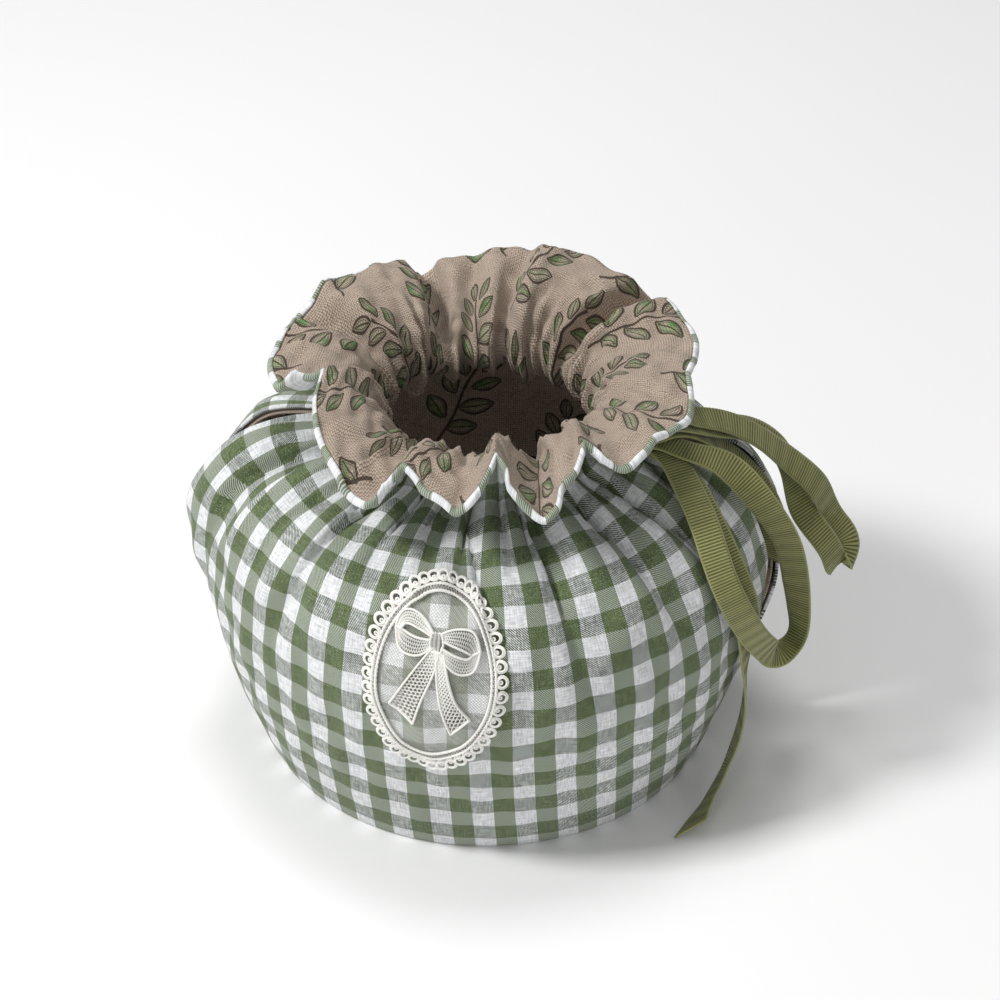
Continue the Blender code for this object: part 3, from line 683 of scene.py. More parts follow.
def leaf_group() -> bpy.types.NodeTree:
    """One pointed leaf in millimetres: its drawn outline with a midrib, and its fill."""
    inputs = {"Place": "Vector", "Centre": "Vector", "Angle": "Float", "Length": "Float", "Width": "Float"}
    graph, given, end = new_group("leaf", inputs, ("Outline", "Fill"))
    moved = graph.node("VectorMath", {0: given["Place"], 1: given["Centre"]}, operation="SUBTRACT")
    x, y = graph.split(graph.turned(moved.outputs[0], given["Angle"]))
    share = graph.over(x, graph.times(given["Length"], 0.5))
    round_share = graph.minus(1.0, graph.times(share, share))
    open_share = graph.most(round_share, 0.0)
    half = graph.times(graph.times(given["Width"], 0.5), open_share)
    beyond = graph.minus(graph.absolute(y), half)
    within = graph.above(round_share, 0.0)
    line = graph.fade(graph.absolute(beyond), 0.27, 0.56)
    inner = graph.absolute(graph.plus(beyond, 0.85))
    inner = graph.times(graph.fade(inner, 0.08, 0.26), 0.7)
    rib = graph.fade(graph.absolute(y), 0.12, 0.34)
    rib = graph.times(rib, graph.below(graph.absolute(share), 0.8))
    drawn = graph.most(graph.most(line, rib), inner)
    drawn = graph.times(drawn, within)
    side = graph.scaled(graph.above(y, 0.0), 0.45, 0.55)
    fill = graph.times(graph.below(beyond, 0.1), within)
    fill = graph.times(fill, side)
    graph.put(end.inputs["Outline"], drawn)
    graph.put(end.inputs["Fill"], fill)
    return graph.tree


class SprigLeaf(NamedTuple):
    """A leaf of the printed sprig, in millimetres and degrees, with the depth of its green."""

    x: float
    y: float
    angle: float
    length: float
    width: float
    green: float


SPRIG = (
    SprigLeaf(-5.6, -11.5, 32.0, 10.5, 5.2, 0.7),
    SprigLeaf(5.4, -8.0, 148.0, 11.0, 5.4, 1.0),
    SprigLeaf(-6.2, -2.5, 38.0, 11.5, 5.6, 0.5),
    SprigLeaf(5.8, 1.5, 140.0, 10.5, 5.0, 0.8),
    SprigLeaf(-4.6, 6.8, 48.0, 10.0, 4.8, 1.0),
    SprigLeaf(5.6, 9.4, 132.0, 9.0, 4.4, 0.4),
    SprigLeaf(-2.4, 14.6, 66.0, 8.6, 4.0, 0.8),
    SprigLeaf(3.6, 16.6, 108.0, 8.0, 3.8, 0.6),
)
SPRIG_STEM_LOW = -19.0
SPRIG_STEM_HIGH = 13.0
SPRIG_BEND = 1.6


def sprig_group(leaf: bpy.types.NodeTree) -> bpy.types.NodeTree:
    """A sprig with a curved stem and eight leaves, in millimetres round its middle."""
    graph, given, end = new_group("sprig", {"Place": "Vector"}, ("Outline", "Fill"))
    x, y = graph.split(given["Place"])
    bend = graph.times(graph.sine(graph.times(y, 0.12)), SPRIG_BEND)
    away = graph.absolute(graph.minus(x, bend))
    stem = graph.fade(away, 0.32, 0.62)
    stem = graph.times(stem, graph.above(y, SPRIG_STEM_LOW))
    outline = graph.times(stem, graph.below(y, SPRIG_STEM_HIGH))
    fill: Socket = 0.0
    for row in SPRIG:
        made = graph.group(
            leaf,
            Place=given["Place"],
            Centre=(row.x, row.y, 0.0),
            Angle=math.radians(row.angle),
            Length=row.length,
            Width=row.width,
        )
        outline = graph.most(outline, made.outputs["Outline"])
        fill = graph.most(fill, graph.times(made.outputs["Fill"], row.green))
    graph.put(end.inputs["Outline"], outline)
    graph.put(end.inputs["Fill"], fill)
    return graph.tree


def dressed(
    name: str, roughness: float, sheen: float = 0.0
) -> tuple[bpy.types.Material, Graph, bpy.types.Node]:
    """A new material with its Principled shader.

    Args:
        name: the material's name.
        roughness: its roughness.
        sheen: weight of the soft glow of fibre ends.

    Returns:
        The material, its graph and its shader.
    """
    material = bpy.data.materials.new(name)
    material.use_nodes = True
    shader = material.node_tree.nodes["Principled BSDF"]
    shader.inputs["Roughness"].default_value = roughness
    shader.inputs["Metallic"].default_value = 0.0
    shader.inputs["Specular IOR Level"].default_value = 0.25
    shader.inputs["Sheen Weight"].default_value = sheen
    shader.inputs["Sheen Roughness"].default_value = 0.5
    return material, Graph(material.node_tree), shader


def bumped(graph: Graph, shader: bpy.types.Node, height: Socket, strength: float, depth: float) -> None:
    """Feed a bump into a shader's normal; depth is in metres."""
    made = graph.node("Bump", {"Height": height, "Strength": strength, "Distance": depth})
    graph.put(shader.inputs["Normal"], made.outputs["Normal"])


@dataclass(frozen=True)
class Gingham:
    """Checked cotton: green and white warp stripes crossed by dark and white weft stripes."""

    check: float = 0.0072
    across_start: float = -0.0006
    up_start: float = 0.0026
    twill_pitch: float = 0.00084
    thread_pitch: float = 0.00042
    green: Colour = (0.094, 0.132, 0.044, 1.0)
    dark: Colour = (0.060, 0.082, 0.044, 1.0)
    white: Colour = (0.69, 0.70, 0.715, 1.0)
    # Colour of the painted highlight specks.
    speck_highlight: Colour = (0.50, 0.54, 0.46, 1.0)

    def material(self, weave: bpy.types.NodeTree) -> bpy.types.Material:
        """Build the cloth's material from the woven-thread group."""
        material, graph, shader = dressed("gingham", 0.88, 0.15)
        place, x, y = graph.flat_place()
        stripes = []
        for value, start in ((x, self.across_start), (y, self.up_start)):
            count = graph.over(graph.plus(value, start), 2.0 * self.check)
            stripes.append(graph.below(graph.math("FRACT", count), 0.5))
        warp = graph.mix(stripes[0], self.white, self.green)
        weft = graph.mix(stripes[1], self.white, self.dark)
        lean = graph.over(graph.plus(x, y), self.twill_pitch)
        wave = graph.sine(graph.times(lean, 2.0 * math.pi))
        threads = graph.group(weave, Place=place, Pitch=self.thread_pitch)
        stitch = graph.scaled(threads.outputs["Height"], 0.9, -0.55)
        loose = graph.scaled(threads.outputs["Slub"], 2.4, -1.2)
        wave = graph.plus(graph.plus(wave, stitch), loose)
        bias = graph.scaled(stripes[0], 0.95, -0.35)
        over = graph.ease(graph.plus(wave, bias), -0.8, 0.8)
        colour = graph.mix(over, weft, warp)
        shade = graph.scaled(threads.outputs["Slub"], 1.6, 0.22)
        # Painted shade: the colour darkens where the thread height is low, between the threads.
        thread_gap_shade = graph.scaled(threads.outputs["Height"], 0.22, 0.86)
        shade = graph.times(shade, thread_gap_shade)
        # Painted highlight: small pale specks mix the colour towards a light tone, standing in for glints
        # on the fibres.
        highlight_specks = graph.plus(graph.noise(place, 2300.0, 1.0), graph.times(wave, 0.045))
        colour = graph.mix(graph.times(graph.ease(highlight_specks, 0.5, 0.68), 0.26), colour, self.speck_highlight)
        worn = graph.scaled(graph.noise(place, 45.0, 3.0), 0.22, 0.89)
        tone = graph.times(shade, worn)
        colour = graph.toned(colour, tone)
        graph.put(shader.inputs["Base Color"], colour)
        relief = graph.scaled(over, 0.5, threads.outputs["Height"])
        bumped(graph, shader, relief, 0.5, 0.00012)
        return material


@dataclass(frozen=True)
class PrintedLinen:
    """Beige linen with leaf sprigs, each turned a little differently, in a half-drop repeat."""

    repeat_across: float = 38.0
    repeat_up: float = 50.0
    scale: float = 1.2
    thread_pitch: float = 0.00085
    most_turn: float = 1.5
    ground: Colour = (0.45, 0.36, 0.285, 1.0)
    fleck: Colour = (0.15, 0.100, 0.072, 1.0)
    pale_yarn: Colour = (0.65, 0.57, 0.49, 1.0)
    outline: Colour = (0.052, 0.034, 0.022, 1.0)
    leaf_green: Colour = (0.070, 0.250, 0.040, 1.0)

    def material(self, weave: bpy.types.NodeTree, sprig: bpy.types.NodeTree) -> bpy.types.Material:
        """Build the lining's material from the thread and sprig groups."""
        material, graph, shader = dressed("printed_linen", 0.92, 0.1)
        place, x, y = graph.flat_place()
        column = graph.over(x, self.repeat_across * MM)
        odd = graph.math("FLOORED_MODULO", graph.floor(column), 2.0)
        row = graph.scaled(odd, 0.5, graph.over(y, self.repeat_up * MM))
        cell = graph.join(graph.floor(column), graph.floor(row))
        chance = graph.node("TexWhiteNoise", {"Vector": cell}, noise_dimensions="2D").outputs["Value"]
        local = []
        for count, repeat in ((column, self.repeat_across), (row, self.repeat_up)):
            from_middle = graph.minus(graph.math("FRACT", count), 0.5)
            local.append(graph.times(from_middle, repeat))
        turn = graph.times(graph.minus(chance, 0.5), self.most_turn)
        grown = graph.node("VectorMath", {0: graph.turned(graph.join(*local), turn)}, operation="SCALE")
        grown.inputs["Scale"].default_value = 1.0 / self.scale
        leaves = graph.group(sprig, Place=grown.outputs[0])
        threads = graph.group(weave, Place=place, Pitch=self.thread_pitch)
        patchy = graph.noise(place, 1300.0, 2.0)
        fleck = graph.ease(graph.times(threads.outputs["Slub"], patchy), 0.25, 0.40)
        ground = graph.mix(graph.times(fleck, 0.75), self.ground, self.fleck)
        pale = graph.times(graph.ease(threads.outputs["Slub"], 0.5, 0.72), 0.4)
        ground = graph.mix(pale, ground, self.pale_yarn)
        rubbed = graph.ease(graph.noise(place, 260.0, 3.0), 0.28, 0.62)
        inked = graph.times(leaves.outputs["Fill"], graph.times(rubbed, 0.84))
        colour = graph.mix(inked, ground, self.leaf_green)
        colour = graph.mix(graph.times(leaves.outputs["Outline"], 0.93), colour, self.outline)
        # Painted shade: the colour darkens in the grooves between the threads.
        groove_shade = graph.scaled(graph.ease(threads.outputs["Height"], 0.2, 0.85), 0.62, 0.52)
        colour = graph.toned(colour, groove_shade)
        graph.put(shader.inputs["Base Color"], colour)
        bumped(graph, shader, threads.outputs["Height"], 0.9, 0.0003)
        return material


@dataclass(frozen=True)
class Grosgrain:
    """Ribbed olive ribbon with a plain bright edge; its ribs carry painted highlights on the crests and
    painted shade in the grooves.
    """

    rib: float = 0.0011
    width: float = 0.010
    thread_pitch: float = 0.0003
    lit_crest: Colour = (0.310, 0.315, 0.118, 1.0)
    groove_shade: Colour = (0.096, 0.100, 0.029, 1.0)
    edge: Colour = (0.30, 0.31, 0.125, 1.0)

    def material(self, weave: bpy.types.NodeTree) -> bpy.types.Material:
        """Build the ribbon's material."""
        material, graph, shader = dressed("grosgrain", 0.62, 0.2)
        place, x, y = graph.flat_place()
        ribs = graph.humps(graph.over(y, self.rib))
        away = graph.absolute(graph.over(x, self.width / 2))
        selvedge = graph.ease(away, 0.86, 0.94)
        # Painted light and shade: the crests of the ribs are lighter and the grooves between them darker.
        colour = graph.mix(graph.ease(ribs, 0.35, 1.0), self.groove_shade, self.lit_crest)
        colour = graph.mix(selvedge, colour, self.edge)
        threads = graph.group(weave, Place=place, Pitch=self.thread_pitch)
        tone = graph.scaled(threads.outputs["Slub"], 0.5, 0.75)
        colour = graph.toned(colour, tone)
        graph.put(shader.inputs["Base Color"], colour)
        flat_edge = graph.minus(1.0, selvedge)
        height = graph.times(ribs, flat_edge)
        height = graph.scaled(threads.outputs["Height"], 0.15, height)
        bumped(graph, shader, height, 0.7, 0.0003)
        return material


@dataclass(frozen=True)
class LaceThread:
    """Cream embroidery thread, and the fine net that it is worked on."""

    cream: Colour = (0.96, 0.95, 0.91, 1.0)
    shade: Colour = (0.88, 0.86, 0.80, 1.0)
    strand_pitch: float = 0.0005
    net_pitch: float = 0.0011
    net_cover: float = 0.05

    def thread(self) -> bpy.types.Material:
        """Material of the worked parts, with stitches close together."""
        material, graph, shader = dressed("lace_thread", 0.7, 0.25)
        place = graph.node("TexCoord").outputs["Object"]
        stitch = graph.noise(place, 1500.0, 2.0)
        colour = graph.mix(graph.ease(stitch, 0.3, 0.7), self.shade, self.cream)
        graph.put(shader.inputs["Base Color"], colour)
        parts = graph.node("SeparateXYZ", {0: place}).outputs
        lean = graph.plus(parts[2], parts[0])
        strands = graph.humps(graph.over(lean, self.strand_pitch))
        bumped(graph, shader, graph.scaled(stitch, 0.8, strands), 0.6, 0.00015)
        return material

    def net(self) -> bpy.types.Material:
        """Material of the net: crossed threads with open meshes between them."""
        material, graph, shader = dressed("lace_net", 0.8, 0.1)
        _, x, y = graph.flat_place()
        lines = []
        for operation in ("ADD", "SUBTRACT"):
            lean = graph.over(graph.math(operation, x, y), self.net_pitch)
            lines.append(graph.fade(graph.humps(lean), 0.1, 0.4))
        threads = graph.most(*lines)
        haze = graph.scaled(threads, 0.22, self.net_cover)
        graph.put(shader.inputs["Base Color"], self.cream)
        graph.put(shader.inputs["Alpha"], haze)
        bumped(graph, shader, threads, 0.4, 0.0001)
        return material


@dataclass
class Finishes:
    """Every material of the cosy, built once."""

    gingham: bpy.types.Material = field(init=False)
    linen: bpy.types.Material = field(init=False)
    grosgrain: bpy.types.Material = field(init=False)
    thread: bpy.types.Material = field(init=False)
    net: bpy.types.Material = field(init=False)

    def __post_init__(self) -> None:
        """Build the groups and the materials that use them."""
        weave = weave_group()
        sprig = sprig_group(leaf_group())
        self.gingham = Gingham().material(weave)
        self.linen = PrintedLinen().material(weave, sprig)
        self.grosgrain = Grosgrain().material(weave)
        self.thread = LaceThread().thread()
        self.net = LaceThread().net()


def placed(name: str, data: bpy.types.ID) -> bpy.types.Object:
    """A new object with this data, linked into the scene."""
    made = bpy.data.objects.new(name, data)
    bpy.context.scene.collection.objects.link(made)
    return made


def aimed(name: str, data: bpy.types.ID, place: Vector, facing: Vector) -> bpy.types.Object:
    """A camera or a lamp at a place, turned to a direction."""
    made = placed(name, data)
    made.location = place
    made.rotation_mode = "QUATERNION"
    made.rotation_quaternion = facing.to_track_quat("-Z", "Y")
    return made


def lay_flat(mesh: bmesh.types.BMesh, corner: Callable) -> None:
    """Write every corner's place on the flat cut; corner takes a face and a vertex."""
    flat = mesh.loops.layers.uv.new("flat_cut")
    for face in mesh.faces:
        for loop in face.loops:
            loop[flat].uv = corner(face, loop.vert)


def finished_mesh(name: str, mesh: bmesh.types.BMesh, material: bpy.types.Material) -> bpy.types.Object:
    """Turn a bmesh into an object at the origin.

    Args:
        name: the piece's name.
        mesh: its shape in metres; it is freed.
        material: its finish.

    Returns:
        The object, smooth shaded.
    """
    data = bpy.data.meshes.new(name)
    mesh.to_mesh(data)
    mesh.free()
    data.shade_smooth()
    data.materials.append(material)
    return placed(name, data)


def finished_sheet(
    name: str, mesh: bmesh.types.BMesh, material: bpy.types.Material, thickness: float
) -> bpy.types.Object:
    """Turn an open bmesh into an object with a thickness in metres, half to each side."""
    bmesh.ops.recalc_face_normals(mesh, faces=mesh.faces[:])
    piece = finished_mesh(name, mesh, material)
    wall = piece.modifiers.new("thickness", "SOLIDIFY")
    wall.thickness = thickness
    wall.offset = 0.0
    wall.use_even_offset = False
    return piece


def tube_mesh(
    name: str,
    paths: Sequence[np.ndarray],
    radius: float,
    material: bpy.types.Material,
    closed: bool,
) -> bpy.types.Object:
    """Round strands along paths, as one mesh.

    Args:
        name: the piece's name.
        paths: points of each strand, in metres.
        radius: the strands' radius in metres.
        material: their finish.
        closed: whether each strand joins its own start.

    Returns:
        The object.
    """
    curve = bpy.data.curves.new(name, "CURVE")
    curve.dimensions = "3D"
    curve.bevel_depth = radius
    curve.bevel_resolution = 1
    curve.use_fill_caps = not closed
    for path in paths:
        spline = curve.splines.new("POLY")
        spline.points.add(len(path) - 1)
        flat = np.concatenate([path, np.ones((len(path), 1))], axis=1)
        spline.points.foreach_set("co", flat.ravel())
        spline.use_cyclic_u = closed
    guide = placed(name + "_guide", curve)
    graph = bpy.context.evaluated_depsgraph_get()
    data = bpy.data.meshes.new_from_object(guide.evaluated_get(graph))
    bpy.data.objects.remove(guide, do_unlink=True)
    data.name = name
    data.shade_smooth()
    data.materials.clear()
    data.materials.append(material)
    return placed(name, data)


def kept(piece: bpy.types.Object, slot: str, *nodes: str) -> bpy.types.Object:
    """Ride a piece on the root and hide the solids that it stands for."""
    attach(piece, "root")
    if nodes:
        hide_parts(*nodes)
    LOG.info("%s: %d faces", piece.name, len(piece.data.polygons))
    return piece


class Course(NamedTuple):
    """A row of a cloth's section: its place up the cloth and its lift off the meeting surface.

    inset moves the row down the cloth and tuck moves it inwards, in millimetres, at the front only.
    """

    v: float
    lift: float
    inset: float = 0.0
    tuck: float = 0.0


# Place up the cloth from which the two cloths thin towards the rim.
NEAR_RIM = 1.7
# Turned-up hem: millimetres up the cloth and lift of each row, from the raw edge round the fold.
HEM_TURN = ((4.5, -0.8), (2.4, -0.8), (1.2, -0.55), (0.8, 0.0), (0.8, 0.6), (1.3, 1.15))
# Rolled rim: millimetres in from the rim, lift, inset and tuck of each row.
RIM_ROLL = (
    (0.5, 0.62, 0.0, 0.0),
    (0.2, 0.45, 0.0, 0.0),
    (0.0, 0.15, 0.0, 0.0),
    (0.03, 0.0, 0.05, 0.3),
    (0.06, -0.1, 0.35, 0.7),
    (0.1, -0.2, 0.8, 0.75),
    (0.15, -0.2, 1.3, 0.7),
)


@dataclass
class ClothPiece:
    """A round of cloth on the folded surface, split at the slits."""

    surface: FoldedSurface
    thickness: float = 0.001
    columns: int = 372
    front_centre: float = -90.0
    back_centre: float = 92.0

    def places(self) -> tuple[np.ndarray, dict[int, Slit]]:
        """Place of each column, and the slit that each split column lies on."""
        total = self.surface.rim_lengths[-1]
        lengths = total * np.arange(self.columns + 1) / self.columns
        places = np.interp(lengths, self.surface.rim_lengths, np.arange(len(self.surface.rim_lengths)))
        azimuths = self.surface.cloth_azimuth(places)
        slits = {}
        for slit in SLITS:
            nearest = int(np.argmin(np.abs(wrapped(azimuths - slit.azimuth))))
            places[nearest] = float(self.surface.place_at(slit.azimuth))
            slits[nearest] = slit
        return places, slits

    def build(self, name: str, courses: Sequence[Course], material: bpy.types.Material) -> bpy.types.Object:
        """Lay a grid on the surface.

        Args:
            name: the piece's name.
            courses: the rows of its section, in order.
            material: its finish.

        Returns:
            The cloth with its thickness.
        """
        places, slits = self.places()
        v = np.array([row.v for row in courses])
        lift = np.array([row.lift for row in courses])
        inset = np.array([row.inset for row in courses]) / self.surface.ruffle_length
        tuck = np.array([row.tuck for row in courses])
        front = self.front_share(self.surface.cloth_azimuth(places))
        mesh = bmesh.new()
        bmesh.ops.create_grid(mesh, x_segments=self.columns, y_segments=len(courses) - 1, size=0.5)
        column = mesh.verts.layers.int.new("column")
        course = mesh.verts.layers.int.new("course")
        for vertex in mesh.verts:
            vertex[column] = round((vertex.co.x + 0.5) * self.columns)
            vertex[course] = round((vertex.co.y + 0.5) * (len(courses) - 1))
        for index, slit in slits.items():
            cut = []
            for edge in mesh.edges:
                ends = [vertex[column] == index for vertex in edge.verts]
                if not all(ends):
                    continue
                middle = sum(v[vertex[course]] for vertex in edge.verts) / 2
                if slit.low < middle < slit.high:
                    cut.append(edge)
            bmesh.ops.split_edges(mesh, edges=cut)
        lay_flat(mesh, self.flat_corner(column, course, places, v))
        rows = np.array([vertex[course] for vertex in mesh.verts])
        cols = np.array([vertex[column] for vertex in mesh.verts])
        side = np.array([self.side_of(vertex, column) for vertex in mesh.verts])
        along = v[rows] - inset[rows] * front[cols]
        points = self.surface.point(places[cols], along, lift[rows] - tuck[rows] * front[cols], side)
        for vertex, point in zip(mesh.verts, points):
            vertex.co = point
        ends = [vertex for vertex in mesh.verts if vertex[column] in (0, self.columns)]
        bmesh.ops.remove_doubles(mesh, verts=ends, dist=2e-5)
        return finished_sheet(name, mesh, material, self.thickness)

    @staticmethod
    def front_share(azimuth: np.ndarray) -> np.ndarray:
        """1 at the front and the sides, where the rim rolls outwards, down to 0 at the back."""
        return 1.0 - smoothstep((70.0 - np.abs(wrapped(azimuth - 92.0))) / 40.0)

    @staticmethod
    def side_of(vertex: bmesh.types.BMVert, column: object) -> float:
        """+1 where the vertex belongs to the cloth on its far side round the cosy, -1 before it."""
        others = [other[column] for face in vertex.link_faces for other in face.verts]
        return 1.0 if max(others) > vertex[column] else -1.0

    def flat_corner(
        self, column: object, course: object, places: np.ndarray, v: np.ndarray
    ) -> Callable:
        """Places on the flat cut; its front and back panels meet at the slits.

        Args:
            column: the grid's layer of column numbers.
            course: the grid's layer of course numbers.
            places: place of each column.
            v: place of each course.

        Returns:
            A function that gives the place of a face's corner, in metres.
        """
        azimuths = self.surface.cloth_azimuth(places)
        middles = (azimuths[:-1] + azimuths[1:]) / 2
        front = np.abs(wrapped(middles - (self.front_centre - 1.0))) < 90.9
        centres = np.where(front, self.front_centre, self.back_centre)
        starts = wrapped(azimuths[:-1] - centres).tolist()
        ends = wrapped(azimuths[1:] - centres).tolist()
        gauge, up = (values.tolist() for values in self.surface.flat_rows(v))

        def corner(face: bmesh.types.BMFace, vertex: bmesh.types.BMVert) -> tuple[float, float]:
            """Place of this corner of the face."""
            first = min(other[column] for other in face.verts)
            away = starts[first] if vertex[column] == first else ends[first]
            return away * gauge[vertex[course]], up[vertex[course]]

        return corner


@dataclass
class Cover(ClothPiece):
    """The checked cover, turned up at the hem and rolled over the lining at the rim."""

    thickness: float = 0.0011
    lift: float = 1.35
    edge_thinning: float = 0.65
    thinning_run: float = 0.28
    hem_top: float = 0.018
    ruffle_top: float = 1.98
    body_rows: int = 66
    ruffle_rows: int = 26

    def courses(self) -> list[Course]:
        """Rows from the turned hem, up the outside and over the rim."""
        rows = [Course(up / self.surface.body_length, lift) for up, lift in HEM_TURN]
        rows += [Course(v, self.lift) for v in np.linspace(self.hem_top, 1.0, self.body_rows)]
        for v in np.linspace(1.0, self.ruffle_top, self.ruffle_rows)[1:]:
            thinning = self.edge_thinning * smoothstep((v - NEAR_RIM) / self.thinning_run)
            rows.append(Course(v, self.lift - thinning))
        for in_from, *rest in RIM_ROLL:
            rows.append(Course(2.0 - in_from / self.surface.ruffle_length, *rest))
        return rows

    def make(self, material: bpy.types.Material) -> bpy.types.Object:
        piece = self.build("cover_cloth", self.courses(), material)
        kept(piece, "gingham", "cover")
        return piece


@dataclass
class Lining(ClothPiece):
    """The printed lining, which shows on the inner face of the ruffle and at the slits."""

    thickness: float = 0.0009
    lift: float = -0.75
    body_rows: int = 60
    ruffle_rows: int = 30
    hem_gap: float = 5.2
    rim_gap: float = 0.1
    edge_run: float = 0.3
    edge_lift: float = 0.25
    edge_inset: float = 0.9

    def make(self, material: bpy.types.Material) -> bpy.types.Object:
        start = self.hem_gap / self.surface.body_length
        end = 2.0 - self.rim_gap / self.surface.ruffle_length
        rows = [Course(v, self.lift) for v in np.linspace(start, 1.0, self.body_rows)]
        for v in np.linspace(1.0, end, self.ruffle_rows)[1:]:
            near_rim = smoothstep((v - NEAR_RIM) / self.edge_run)
            rows.append(Course(v, self.lift + self.edge_lift * near_rim, self.edge_inset * near_rim))
        piece = self.build("lining_cloth", rows, material)
        kept(piece, "printed_linen", "lining")
        return piece


# Shapes of the embroidered bow: two edges of each, from the knot outwards, in millimetres.
BOW_LEFT_LOOP = (
    (-1.9, 16.0, -2.0, 14.9),
    (-4.9, 19.6, -5.1, 16.2),
    (-9.3, 21.8, -8.7, 17.3),
    (-13.0, 20.4, -11.2, 17.3),
    (-14.4, 15.8, -12.6, 15.4),
)
BOW_LEFT_UNDER = (
    (-2.2, 14.0, -1.8, 11.8),
    (-5.6, 13.8, -5.2, 8.9),
    (-9.0, 14.3, -9.2, 8.4),
    (-11.5, 15.1, -12.7, 10.3),
    (-12.6, 15.4, -14.4, 15.8),
)
BOW_RIGHT_LOOP = (
    (0.5, 16.2, 1.4, 14.4),
    (3.7, 17.9, 4.5, 13.5),
    (7.7, 18.6, 7.7, 12.5),
    (11.8, 17.4, 10.2, 11.5),
    (14.2, 12.2, 11.5, 10.9),
)
BOW_RIGHT_UNDER = (
    (1.3, 12.3, 1.1, 9.8),
    (4.6, 10.9, 4.5, 6.5),
    (7.9, 9.8, 8.3, 4.6),
    (10.3, 9.6, 12.6, 6.0),
    (11.5, 10.9, 14.2, 12.2),
)
BOW_LEFT_TAIL = (
    (-1.6, 11.8, 0.7, 10.3),
    (-4.5, 7.1, -0.1, 4.3),
    (-7.7, 1.5, -1.9, -2.1),
    (-10.9, -4.7, -3.8, -8.6),
    (-13.7, -10.5, -5.3, -16.0),
)
BOW_RIGHT_TAIL = (
    (-0.1, 10.3, 2.5, 10.3),
    (0.6, 3.8, 3.9, 4.7),
    (1.7, -3.0, 5.7, -1.1),
    (3.7, -10.5, 8.3, -6.6),
    (6.9, -19.0, 12.6, -11.6),
)
BOW_KNOT = (
    (-2.2, 16.6, 1.0, 16.6),
    (-2.5, 14.6, 1.7, 14.6),
    (-2.4, 12.6, 1.8, 12.6),
    (-1.5, 10.6, 1.3, 10.6),
)
# Each shape with its number of stitched rows.
BOW_SHAPES = (
    (BOW_LEFT_LOOP, 5),
    (BOW_LEFT_UNDER, 5),
    (BOW_RIGHT_LOOP, 5),
    (BOW_RIGHT_UNDER, 5),
    (BOW_LEFT_TAIL, 6),
    (BOW_RIGHT_TAIL, 6),
    (BOW_KNOT, 3),
)
# Threads of each loop of the edge, and the bud in it: reach, radius and lift.
LOOP_THREADS = (
    (0.945, 2.0, 0.3),
    (0.945, 1.5, 0.55),
    (0.925, 0.5, 0.3),
)


